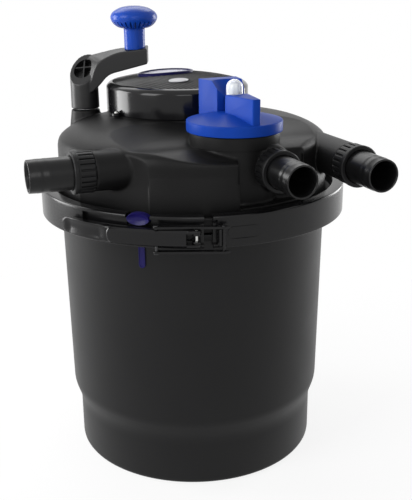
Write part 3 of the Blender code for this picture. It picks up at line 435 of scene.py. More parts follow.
def arc(centre: Point, radius: float, start: float, end: float, count: int) -> Points:
    """Points of an arc in degrees, both ends included."""
    angles = [math.radians(start + (end - start) * i / count) for i in range(count + 1)]
    return [(centre[0] + radius * math.cos(a), centre[1] + radius * math.sin(a)) for a in angles]


def oval(centre: Point, rx: float, ry: float, count: int = 64, lean: float = 0.0) -> Points:
    """Points of an ellipse.

    Args:
        centre: its middle.
        rx: half-axis along X.
        ry: half-axis along Y.
        count: number of points.
        lean: turn in degrees.

    Returns:
        The points, once round.
    """
    cos, sin = math.cos(math.radians(lean)), math.sin(math.radians(lean))
    angles = [math.tau * i / count for i in range(count)]
    points = [(rx * math.cos(a), ry * math.sin(a)) for a in angles]
    return [(centre[0] + x * cos - y * sin, centre[1] + x * sin + y * cos) for x, y in points]


def strip(a: Point, b: Point, radius: float, count: int = 12) -> Points:
    """Round-ended strip between two points."""
    heading = math.degrees(math.atan2(b[1] - a[1], b[0] - a[0]))
    first = arc(a, radius, heading + 90, heading + 270, count)
    return first + arc(b, radius, heading - 90, heading + 90, count)


def polar(radius: float, degrees: float, z: float = 0.0) -> Vector:
    """Point at a radius and an angle round +Z."""
    angle = math.radians(degrees)
    return Vector((radius * math.cos(angle), radius * math.sin(angle), z))


def spin(degrees: float) -> Matrix:
    """Turn round +Z."""
    return Matrix.Rotation(math.radians(degrees), 4, "Z")


def tip(degrees: float) -> Matrix:
    """Turn round +Y."""
    return Matrix.Rotation(math.radians(degrees), 4, "Y")


def moved(x: float, y: float, z: float = 0.0) -> Matrix:
    """Shift by a distance."""
    return Matrix.Translation((x, y, z))


def over(node: str) -> Matrix:
    """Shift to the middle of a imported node, at height 0."""
    low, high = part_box(node)
    return moved((low.x + high.x) / 2, (low.y + high.y) / 2)


def smooth(low: float, high: float, value: float) -> float:
    """0 below low, 1 above high and a soft step between."""
    t = min(1.0, max(0.0, (value - low) / (high - low)))
    return t * t * (3 - 2 * t)


def toward(direction: Point, centre: Point) -> Matrix:
    """Matrix that points local +Z along a direction from a centre."""
    turn = Vector(direction).normalized().to_track_quat("Z", "Y").to_matrix().to_4x4()
    return Matrix.Translation(Vector(centre)) @ turn


def upright(centre: Point, degrees: float) -> Matrix:
    """Matrix that stands local X, Y up as heading, height at an angle round +Z."""
    stand = Matrix(((1, 0, 0, 0), (0, 0, -1, 0), (0, 1, 0, 0), (0, 0, 0, 1)))
    return Matrix.Translation(Vector(centre)) @ spin(degrees) @ stand


class Shape:
    """One mesh piece, made and changed with modelling operations."""

    def __init__(self, name: str, work: bmesh.types.BMesh, matrix: Matrix | None = None) -> None:
        """Turn a work mesh into an object.

        Args:
            name: name of the object.
            work: the mesh in work, which is used up.
            matrix: where it goes.
        """
        if matrix is not None:
            bmesh.ops.transform(work, matrix=matrix, verts=work.verts)
        bmesh.ops.recalc_face_normals(work, faces=work.faces)
        mesh = bpy.data.meshes.new(name)
        work.to_mesh(mesh)
        work.free()
        self.object = bpy.data.objects.new(name, mesh)
        bpy.context.scene.collection.objects.link(self.object)

    @classmethod
    def skinned(cls, name: str, loops: Sequence[Sequence[Point]], ring: bool = False,
                matrix: Matrix | None = None) -> "Shape":
        """Skin closed loops of equal length.

        Args:
            name: name of the shape.
            loops: the loops in order.
            ring: joins the last loop to the first; otherwise both are capped.
            matrix: where it goes.

        Returns:
            The skinned shape.
        """
        work = bmesh.new()
        rows = [[work.verts.new(point) for point in loop] for loop in loops]
        pairs = list(zip(rows, rows[1:])) + ([(rows[-1], rows[0])] if ring else [])
        for low, high in pairs:
            for i in range(len(low)):
                j = (i + 1) % len(low)
                work.faces.new((low[i], low[j], high[j], high[i]))
        if not ring:
            work.faces.new(rows[0][::-1])
            work.faces.new(rows[-1])
        return cls(name, work, matrix)

    @classmethod
    def turned(cls, name: str, profile: Outline, steps: int = TURN_STEPS, ring: bool = False,
               matrix: Matrix | None = None) -> "Shape":
        """Revolve a profile round +Z.

        Args:
            name: name of the shape.
            profile: (radius, z) points, which end on the axis unless it is a ring.
            steps: sides of the full turn.
            ring: joins the last point to the first.
            matrix: where it goes.

        Returns:
            The turned shape.
        """
        work = bmesh.new()
        columns = []
        for radius, z in eased(profile, closed=ring):
            if radius < 1e-6:
                columns.append([work.verts.new((0, 0, z))])
            else:
                around = oval((0, 0), radius, radius, steps)
                columns.append([work.verts.new((x, y, z)) for x, y in around])
        pairs = list(zip(columns, columns[1:])) + ([(columns[-1], columns[0])] if ring else [])
        for a, b in pairs:
            for i in range(steps):
                j = (i + 1) % steps
                corners = [a[i % len(a)], a[j % len(a)], b[j % len(b)], b[i % len(b)]]
                corners = [v for k, v in enumerate(corners) if v not in corners[:k]]
                if len(corners) > 2:
                    work.faces.new(corners)
        return cls(name, work, matrix)

    @classmethod
    def slab(cls, name: str, outline: Outline, low: float, high: float,
             matrix: Matrix | None = None) -> "Shape":
        """Extrude a flat outline between two heights."""
        points = eased(outline)
        return cls.skinned(name, [[(x, y, z) for x, y in points] for z in (low, high)], matrix=matrix)

    @classmethod
    def block(cls, name: str, low: Point, high: Point, matrix: Matrix | None = None) -> "Shape":
        """Box between two corners."""
        outline = [(low[0], low[1]), (high[0], low[1]), (high[0], high[1]), (low[0], high[1])]
        return cls.slab(name, outline, low[2], high[2], matrix)

    def _apply(self, kind: str, **settings: Any) -> "Shape":
        """Add one modifier and settle it into the mesh.

        Args:
            kind: Blender's type name of the modifier.
            settings: its settings.

        Returns:
            The shape itself.
        """
        change = self.object.modifiers.new(kind.lower(), kind)
        for key, value in settings.items():
            setattr(change, key, value)
        graph = bpy.context.evaluated_depsgraph_get()
        settled = bpy.data.meshes.new_from_object(self.object.evaluated_get(graph))
        self.object.modifiers.clear()
        self.object.data = settled
        return self

    def _boolean(self, other: "Shape", operation: str) -> "Shape":
        """Combine with another shape, which is used up.

        Args:
            other: the other shape.
            operation: Blender's name of the operation.

        Returns:
            The shape itself.
        """
        self._apply("BOOLEAN", object=other.object, operation=operation, solver="EXACT")
        bpy.data.objects.remove(other.object)
        return self

    def cut(self, *others: "Shape") -> "Shape":
        """Take other shapes away.

        Args:
            others: the shapes, which are used up.

        Returns:
            The shape itself.
        """
        for other in others:
            self._boolean(other, "DIFFERENCE")
        return self

    def join(self, *others: "Shape") -> "Shape":
        """Add other shapes.

        Args:
            others: the shapes, which are used up.

        Returns:
            The shape itself.
        """
        for other in others:
            self._boolean(other, "UNION")
        return self

    def keep(self, other: "Shape") -> "Shape":
        """Keep only what lies in another shape."""
        return self._boolean(other, "INTERSECT")

    def soften(self, width: float, segments: int = 3, angle: float = 40.0) -> "Shape":
        """Round the edges sharper than an angle in degrees."""
        return self._apply("BEVEL", width=width, segments=segments, limit_method="ANGLE",
                           angle_limit=math.radians(angle), miter_outer="MITER_ARC")

    def melt(self, voxel: float, passes: int) -> "Shape":
        """Fuse overlapping solids into one skin with soft inner corners."""
        self._apply("REMESH", mode="VOXEL", voxel_size=voxel, adaptivity=0.0)
        return self._apply("SMOOTH", factor=0.5, iterations=passes)

    def finish(self, finish: Any, body: Body, slot: Slot, *nodes: str) -> bpy.types.Object:
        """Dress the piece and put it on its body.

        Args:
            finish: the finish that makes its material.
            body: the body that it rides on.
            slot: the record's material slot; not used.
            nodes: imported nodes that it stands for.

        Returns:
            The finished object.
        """
        mesh = self.object.data
        mesh.shade_smooth()
        mesh.set_sharp_from_angle(angle=math.radians(SHARP_DEG))
        mesh.materials.clear()
        mesh.materials.append(PALETTE.get(finish))
        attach(self.object, body.value)
        if nodes:
            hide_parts(*nodes)
        LOG.info("%s: %d faces", self.object.name, len(mesh.polygons))
        return self.object


def disc(name: str, radius: float, low: float, high: float, matrix: Matrix | None = None,
         top_radius: float | None = None, steps: int = TURN_STEPS) -> Shape:
    """Plain cylinder or cone, mostly a cutter or a boss to be joined."""
    upper = radius if top_radius is None else top_radius
    return Shape.turned(name, [(0, high), (upper, high), (radius, low), (0, low)], steps, matrix=matrix)


@dataclass
class Canister:
    """Tapering tub with a sloping step above its straight foot."""

    foot_r: float = 0.1635
    step_low: float = 0.066
    step_high: float = 0.090
    body_r: float = 0.1717
    rim_r: float = 0.1750
    rim_z: float = 0.3459
    flange_t: float = 0.008
    flange_r: float = 0.1900
    wall: float = 0.004
    floor_t: float = 0.005

    def build(self) -> None:
        """Make the tub."""
        under = self.rim_z - self.flange_t
        profile = [(0, 0), (self.foot_r, 0, 0.006), (self.foot_r, self.step_low, 0.010)]
        profile += [(self.body_r, self.step_high, 0.006), (self.rim_r, under, 0.002)]
        profile += [(self.flange_r, under, 0.001), (self.flange_r, self.rim_z, 0.001)]
        profile += [(self.rim_r - self.wall, self.rim_z, 0.001), (self.body_r - self.wall, self.step_high)]
        profile += [(self.foot_r - self.wall, self.step_high), (self.foot_r - self.wall, self.floor_t, 0.004)]
        profile += [(0, self.floor_t)]
        tub = Shape.turned("canister_tub", profile, 192)
        tub.finish(FINISHES[Slot.SATIN], Body.FILTER, Slot.SATIN, "canister")


@dataclass
class IndexMarks:
    """Blue strip on the tub and blue oval tab on the lid flange, one above the other."""

    angle: float = 231.6
    strip_deg: float = 229.8
    tub_r: float = 0.1750
    strip_top: float = 0.3265
    strip_low: float = 0.3025
    strip_r: float = 0.0040
    tab_r: float = 0.1903
    tab_rx: float = 0.0140
    tab_ry: float = 0.0072
    tab_drop: float = 0.0016

    def build(self) -> None:
        """Make the strip and the tab."""
        turn = spin(self.angle)
        side = spin(self.strip_deg) @ moved(self.tub_r, 0) @ tip(90)
        loops = []
        for inset, z in ((0.0, 0.0003), (0.0, 0.0013), (0.0004, 0.0017), (0.0010, 0.0017), (0.0014, 0.0010)):
            outline = strip((-self.strip_low, 0), (-self.strip_top, 0), self.strip_r - inset)
            loops.append([(x, y, z) for x, y in outline])
        bar = Shape.skinned("index_strip_bar", loops, matrix=side)
        bar.finish(FINISHES[Slot.INDEX_BLUE], Body.FILTER, Slot.INDEX_BLUE, "index_strip")
        low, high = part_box("lid_index_tab")
        middle_z = (low.z + high.z) / 2 - self.tab_drop
        out = turn @ moved(self.tab_r, 0, middle_z) @ tip(90)
        shares = (1.0, 1.0, 0.93, 0.78)
        rim = [oval((0, 0), self.tab_ry * k, self.tab_rx * (1 - (1 - k) * 0.6)) for k in shares]
        loops = [[(x, y, z) for x, y in ring] for ring, z in zip(rim, (0.0, 0.0075, 0.0088, 0.0082))]
        loops += [[(x, y, 0.0066) for x, y in oval((0, 0), self.tab_ry * 0.52, self.tab_rx * 0.62)]]
        loops += [[(x, y, 0.0062) for x, y in oval((0, 0), self.tab_ry * 0.25, self.tab_rx * 0.35)]]
        tab = Shape.skinned("index_tab", loops, matrix=out)
        tab.finish(FINISHES[Slot.INDEX_BLUE], Body.FILTER, Slot.INDEX_BLUE, "lid_index_tab")


@dataclass
class ClampBand:
    """C-section ring round both flanges, split at the front, with the latch seat in it."""

    radius: float = 0.2000
    z0: float = 0.3326
    z1: float = 0.3700
    lip_r: float = 0.1855
    web_in: float = 0.1915
    ledge_low: float = 0.3371
    ledge_high: float = 0.3660
    lower_lip_z: float = 0.3376
    split_deg: float = 255.0
    split_w: float = 0.0105
    seat_from: float = 210.0
    seat_to: float = 257.6
    seat_depth: float = 0.005
    tab_deg: float = 231.6
    tab_half: float = 0.0148
    tab_floor_z: float = 0.3568
    pocket_deg: float = 266.5
    pocket_x: tuple[float, float] = (-0.012, 0.014)
    pocket_r: float = 0.0078
    pocket_floor_r: float = 0.0064

    def section(self, angle: float) -> list[tuple[float, float]]:
        """C-section of the band, with the web set back inside the latch seat.

        Args:
            angle: angle round +Z in degrees.

        Returns:
            The (radius, z) points.
        """
        turn = angle % 360.0
        share = smooth(self.seat_from - 0.3, self.seat_from, turn)
        share -= smooth(self.seat_to, self.seat_to + 0.3, turn)
        web = self.radius - self.seat_depth * share
        edge = 0.0012
        profile = [(self.lip_r - 0.005, self.z0), (self.radius, self.z0, edge)]
        profile += [(self.radius, self.ledge_low, 0.0004), (web, self.ledge_low + 0.0002)]
        profile += [(web, self.ledge_high - 0.0002), (self.radius, self.ledge_high, 0.0004)]
        profile += [(self.radius, self.z1, 0.0020), (self.lip_r, self.z1, 0.0012)]
        profile += [(self.lip_r, self.ledge_high)]
        profile += [(self.web_in, self.ledge_high), (self.web_in, self.lower_lip_z)]
        profile += [(self.lip_r - 0.005, self.lower_lip_z)]
        return eased(profile)

    def stations(self) -> list[float]:
        """Where the sections stand, from one side of the split round to the other.

        Returns:
            Their angles in degrees.
        """
        half = math.degrees(self.split_w / 2 / self.radius)
        start, end = self.split_deg + half, self.split_deg - half + 360.0
        marks = {start, end}
        marks.update(start + (end - start) * i / 200 for i in range(201))
        for edge in (self.seat_to, self.seat_from - 0.3 + 360.0):
            marks.update(edge + 0.3 * i / 4 for i in range(5))
        return sorted(marks)

    def build(self) -> None:
        """Make the band with the notch for the index tab and the pocket on its face."""
        loops = []
        for angle in self.stations():
            loops.append([polar(radius, angle, z) for radius, z in self.section(angle)])
        band = Shape.skinned("clamp_ring", loops)
        turn = spin(self.tab_deg)
        low = (0.18, -self.tab_half, self.tab_floor_z)
        band.cut(Shape.block("tab_notch", low, (0.21, self.tab_half, 0.38), turn))
        side = spin(self.pocket_deg) @ moved(self.radius, 0) @ tip(90)
        mid_z = (self.z0 + self.z1) / 2 - 0.001
        start, end = [(-mid_z, x) for x in self.pocket_x]
        outer = strip(start, end, self.pocket_r)
        inner = strip(start, end, self.pocket_floor_r)
        band.cut(Shape.slab("pocket", outer, -0.0010, 0.002, side))
        band.join(Shape.slab("pocket_floor", inner, -0.004, -0.0003, side))
        band.finish(SMOOTH_BLACK, Body.FILTER, Slot.SATIN, "clamp_band")


@dataclass
class Latch:
    """Curved over-centre lever, the link with its hook bar, and their pins."""

    band_r: float = 0.2000
    z0: float = 0.3380
    z1: float = 0.3575
    fulcrum_deg: float = 251.0
    fulcrum_r: float = 0.2072
    link_deg: float = 238.5
    link_r: float = 0.2080
    catch_deg: float = 259.4
    tip_deg: float = 202.0
    lift_deg: float = 214.0
    tip_lift: float = 0.0075
    tip_drop: float = -0.0017
    clear: float = 0.0007
    thick: float = 0.0125
    pin_r: float = 0.0018
    end_r: float = 0.0055
    ear_t: float = 0.0032
    rail_t: float = 0.0026
    rail_r: float = 0.0036
    beak_l: float = 0.0075
    panel_deg: float = 222.4
    panel_t: float = 0.0014
    scoop_depth: float = 0.0026
    tip_round: float = 2.9

    def section(self, angle: float) -> list[tuple[float, float]]:
        """Cross-section of the lever.

        Args:
            angle: angle round +Z in degrees.

        Returns:
            The (radius, z) points.
        """
        share = max(0.0, (self.lift_deg - angle) / (self.lift_deg - self.tip_deg)) ** 1.5
        inner = self.band_r + self.clear + self.tip_lift * share
        outer = self.band_r + self.clear + self.thick + self.tip_drop * share
        near = min(1.0, (angle - self.tip_deg) / self.tip_round + 0.004)
        squeeze = math.sqrt(1.0 - (1.0 - near) ** 2)
        outer -= (outer - inner) * 0.45 * (1.0 - squeeze)
        scoop = smooth(self.tip_deg + 0.8, self.tip_deg + 4.5, angle) * (1 - smooth(218.6, 222.2, angle))
        middle = (self.z0 + self.z1) / 2
        half = (self.z1 - self.z0) / 2 * squeeze
        points = [(inner, middle - half * 0.86), (inner + 0.0010, middle - half)]
        for i in range(-14, 15):
            t = i / 14
            start = self.panel_deg + 1.5 * (1 - math.sqrt(max(0.0, 1 - (t / 0.82) ** 2)))
            raised = smooth(start - 0.3, start + 0.3, angle) * (1 - smooth(0.74, 0.84, abs(t)))
            dip = self.scoop_depth * scoop * (1 - t * t) + self.panel_t * (1 - raised)
            z = middle + half * math.copysign(1 - (1 - abs(t)) ** 1.2, t)
            points.append((outer - 0.0018 * abs(t) ** 7 - dip * squeeze, z))
        points += [(inner + 0.0010, middle + half), (inner, middle + half * 0.86)]
        return points

    def lever(self) -> None:
        """Make the lever with its forked end."""
        end = self.fulcrum_deg - 0.6
        angles = [self.tip_deg + (end - self.tip_deg) * i / 210 for i in range(211)]
        body = Shape.skinned("lever_bar", [[polar(r, a, z) for r, z in self.section(a)] for a in angles])
        fulcrum = polar(self.fulcrum_r, self.fulcrum_deg)
        back = polar(self.fulcrum_r, self.fulcrum_deg - 2.0)
        ears = Shape.slab("lever_ears", strip(fulcrum, back, self.end_r), self.z0 + 0.0003, self.z1 - 0.0003)
        body.join(ears.soften(0.0006, 2))
        fork_deg = math.degrees(0.0115 / self.fulcrum_r)
        outline = arc((0, 0), self.band_r + 0.03, self.fulcrum_deg - fork_deg, self.fulcrum_deg + 3.0, 8)
        outline += arc((0, 0), self.band_r - 0.01, self.fulcrum_deg + 3.0, self.fulcrum_deg - fork_deg, 8)
        body.cut(Shape.slab("fork_gap", outline, self.z0 + self.ear_t, self.z1 - self.ear_t))
        for spot in (fulcrum, polar(self.link_r, self.link_deg)):
            body.cut(disc("pin_hole", self.pin_r + GAP, 0.32, 0.38, Matrix.Translation(spot), steps=24))
        body.finish(SMOOTH_BLACK, Body.LEVER, Slot.SATIN, "latch_lever")

    def pins(self) -> None:
        """Make the fulcrum pin and the riveted link pin."""
        for name, body, spot, node in (
            ("fulcrum_rivet", Body.FILTER, polar(self.fulcrum_r, self.fulcrum_deg), "fulcrum_pin"),
            ("link_rivet", Body.LEVER, polar(self.link_r, self.link_deg), "link_pin"),
        ):
            low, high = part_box(node)
            if node == "fulcrum_pin":
                profile = [(0, high.z), (self.pin_r, high.z, 0.0004), (self.pin_r, low.z, 0.0004), (0, low.z)]
            else:
                head = 0.0028
                neck = 0.0012
                profile = [(0, high.z), (head, high.z, 0.0008), (head, high.z - neck + GAP)]
                profile += [(self.pin_r, high.z - neck + GAP), (self.pin_r, low.z + neck - GAP)]
                profile += [(head, low.z + neck - GAP), (head, low.z, 0.0008), (0, low.z)]
            pin = Shape.turned(name, profile, SMALL_STEPS, matrix=Matrix.Translation(spot))
            pin.finish(FINISHES[Slot.STEEL] if body is Body.FILTER else DARK_STEEL, body, Slot.STEEL, node)

    def link(self) -> None:
        """Make the two rails and the hook bar between them."""
        low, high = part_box("latch_link")
        start = polar(self.link_r, self.link_deg)
        hook = polar(self.link_r, self.catch_deg)
        along = (hook - start).normalized()
        side = Vector((-along.y, along.x, 0))
        out = side if side.dot(hook) > 0 else -side
        rail = None
        for name, z in (("upper_rail", high.z - self.rail_t), ("lower_rail", low.z)):
            shape = Shape.slab(name, strip(start, hook, self.rail_r), z, z + self.rail_t)
            beak = [hook - side * self.rail_r, hook + along * self.beak_l + out * 0.0006]
            beak += [hook + side * self.rail_r]
            shape.join(Shape.slab("beak", [point[:2] for point in beak], z, z + self.rail_t))
            shape.soften(0.0005, 2)
            rail = shape if rail is None else rail.join(shape)
        bar = disc("hook_bar", self.pin_r, low.z + 0.001, high.z - 0.001, Matrix.Translation(hook), steps=24)
        rivet = [(0, high.z + 0.0010), (0.0022, high.z + 0.0010, 0.0008)]
        rivet += [(0.0026, high.z - 0.001), (0, high.z - 0.001)]
        rail.join(bar, Shape.turned("hook_head", rivet, 24, matrix=Matrix.Translation(hook)))
        rail.cut(disc("rail_hole", self.pin_r + GAP, 0.32, 0.38, Matrix.Translation(start), steps=24))
        rail.object.name = "link_frame"
        rail.finish(SMOOTH_BLACK, Body.LINK, Slot.SATIN, "latch_link")

    def seats(self) -> None:
        """Make the band's knuckles and the catch that the hook bar pulls on."""
        fulcrum = polar(self.fulcrum_r, self.fulcrum_deg)
        inward = polar(self.band_r - 0.007 + self.end_r, self.fulcrum_deg)
        knuckle_t = 0.0026
        gap_low = self.z0 + self.ear_t + GAP
        gap_high = self.z1 - self.ear_t - GAP - knuckle_t
        for label, z in (("lower", gap_low), ("upper", gap_high)):
            eye = Shape.slab(label + "_eye", strip(inward, fulcrum, self.end_r - 0.0005), z, z + knuckle_t)
            spot = Matrix.Translation(fulcrum)
            eye.cut(disc("eye_hole", self.pin_r + GAP, z - 0.01, z + 0.01, spot, steps=24))
            eye.object.name = label + "_knuckle"
            eye.soften(0.0004, 2).finish(SMOOTH_BLACK, Body.FILTER, Slot.SATIN)
        bar = polar(self.link_r, self.catch_deg)
        along = (polar(self.link_r, self.link_deg) - bar).normalized()
        out = Vector((-along.y, along.x, 0))
        out = out if out.dot(bar) > 0 else -out
        near = bar + along * (self.pin_r + GAP)
        far = near + along * 0.003
        corners = [near - out * 0.0095, near + out * 0.0025, far + out * 0.0025, far - out * 0.0095]
        catch = Shape.slab("band_catch_plate", [point[:2] for point in corners], self.z0, self.z1)
        catch.soften(0.0006, 2).finish(SMOOTH_BLACK, Body.FILTER, Slot.SATIN)

    def build(self) -> None:
        """Make every piece of the latch."""
        self.lever()
        self.pins()
        self.link()
        self.seats()


@dataclass
class Port:
    """One hose port: its face on the lid, the way that it points and how deep its duct reaches."""

    label: str
    heading: tuple[float, float, float]
    depth: float
    pipe_r: float = 0.0235
    bore_r: float = 0.0160
    spigot_r: float = 0.0205
    spigot_l: float = 0.0151

    def face(self) -> Vector:
        """Centre of the duct's end face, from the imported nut.

        Returns:
            The point.
        """
        low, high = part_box("union_nut_" + self.label)
        heading = Vector(self.heading)
        middle = (low + high) / 2
        reach = abs((high - low).dot(heading))
        return middle - heading * (reach / 2 + GAP)

    def axis(self) -> Matrix:
        """Matrix with +Z out of the port, from its face."""
        return toward(self.heading, self.face())

    def duct(self) -> Shape:
        """Solid duct and spigot.

        Returns:
            The shape, in its place.
        """
        profile = [(0, self.spigot_l), (self.spigot_r, self.spigot_l), (self.spigot_r, 0)]
        profile += [(self.pipe_r, 0), (self.pipe_r, -self.depth), (0, -self.depth)]
        return Shape.turned(self.label + "_duct", profile, 64, matrix=self.axis())

    def bore(self) -> Shape:
        """Water way through the duct."""
        start = 0.006 - self.depth
        return disc(self.label + "_way", self.bore_r, start, self.spigot_l + 0.01, self.axis(), steps=64)


@dataclass
class HoseUnion:
    """Union nut with its flutes, and the hose tail that it holds."""

    port: Port
    body: Body
    nut_r: float = 0.0250
    nut_l: float = 0.0250
    lip_t: float = 0.0035
    flutes: int = 22
    groove: float = 0.0018
    tail_r: float = 0.0195
    tail_wall: float = 0.0035
    barb: float = 0.0001

    def nut(self) -> None:
        """Make the nut: fluted grip, plain rim at the outer end."""
        inner = self.port.spigot_r + 2 * GAP
        throat = self.tail_r + 2 * GAP
        rows = [(self.nut_r - 0.0016, GAP, 0.0), (self.nut_r - 0.0008, GAP + 0.0008, 1.0)]
        rows += [(self.nut_r - 0.0006, 0.0035, 1.0), (self.nut_r - 0.0006, 0.0175, 1.0)]
        rows += [(self.nut_r - 0.0006, 0.0180, 0.0), (self.nut_r - 0.0006, 0.0196, 0.0)]
        rows += [(self.nut_r, 0.0202, 0.0), (self.nut_r, 0.0240, 0.0), (self.nut_r - 0.0010, self.nut_l, 0.0)]
        rows += [(throat + 0.0006, self.nut_l, 0.0), (throat, self.nut_l - 0.0006, 0.0)]
        rows += [(throat, self.nut_l - self.lip_t, 0.0), (inner, self.nut_l - self.lip_t, 0.0)]
        rows += [(inner, GAP, 0.0)]
        per = 12
        count = self.flutes * per
        loops = []
        for radius, z, cut in rows:
            loop = []
            for i in range(count):
                phase = (i % per) / per
                dent = self.groove * cut * (1 - smooth(0.08, 0.20, min(phase, 1 - phase)))
                angle = math.tau * i / count
                loop.append(((radius - dent) * math.cos(angle), (radius - dent) * math.sin(angle), z))
            loops.append(loop)
        label = self.port.label
        nut = Shape.skinned("fluted_nut_" + label, loops, ring=True, matrix=self.port.axis())
        nut.finish(FINISHES[Slot.SATIN], self.body, Slot.SATIN, "union_nut_" + label)

    def tail(self) -> None:
        """Make the hose tail with its low barbs."""
        low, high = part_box("hose_tail_" + self.port.label)
        heading = Vector(self.port.heading)
        reach = abs((high - low).dot(heading))
        start = self.port.spigot_l + 2 * GAP + 0.0025
        mouth = start + reach
        bore = self.tail_r - self.tail_wall
        flange = start + 0.003
        flange_r = self.port.spigot_r
        profile = [(bore, start), (flange_r, start), (flange_r, flange), (self.tail_r, flange)]
        for step in (0.0190, 0.0095):
            top = mouth - step
            profile += [(self.tail_r, top - 0.0050), (self.tail_r + self.barb, top)]
            profile += [(self.tail_r - 0.0001, top + 0.0004)]
        profile += [(self.tail_r - 0.0004, mouth, 0.0012), (bore + 0.0012, mouth, 0.0010)]
        profile += [(bore, mouth - 0.004)]
        tail = Shape.turned("tail_" + self.port.label, profile, 96, ring=True, matrix=self.port.axis())
        tail.finish(TAIL_BLACK, Body.FILTER, Slot.SATIN, "hose_tail_" + self.port.label)

    def build(self) -> None:
        """Make the nut and the tail."""
        self.nut()
        self.tail()


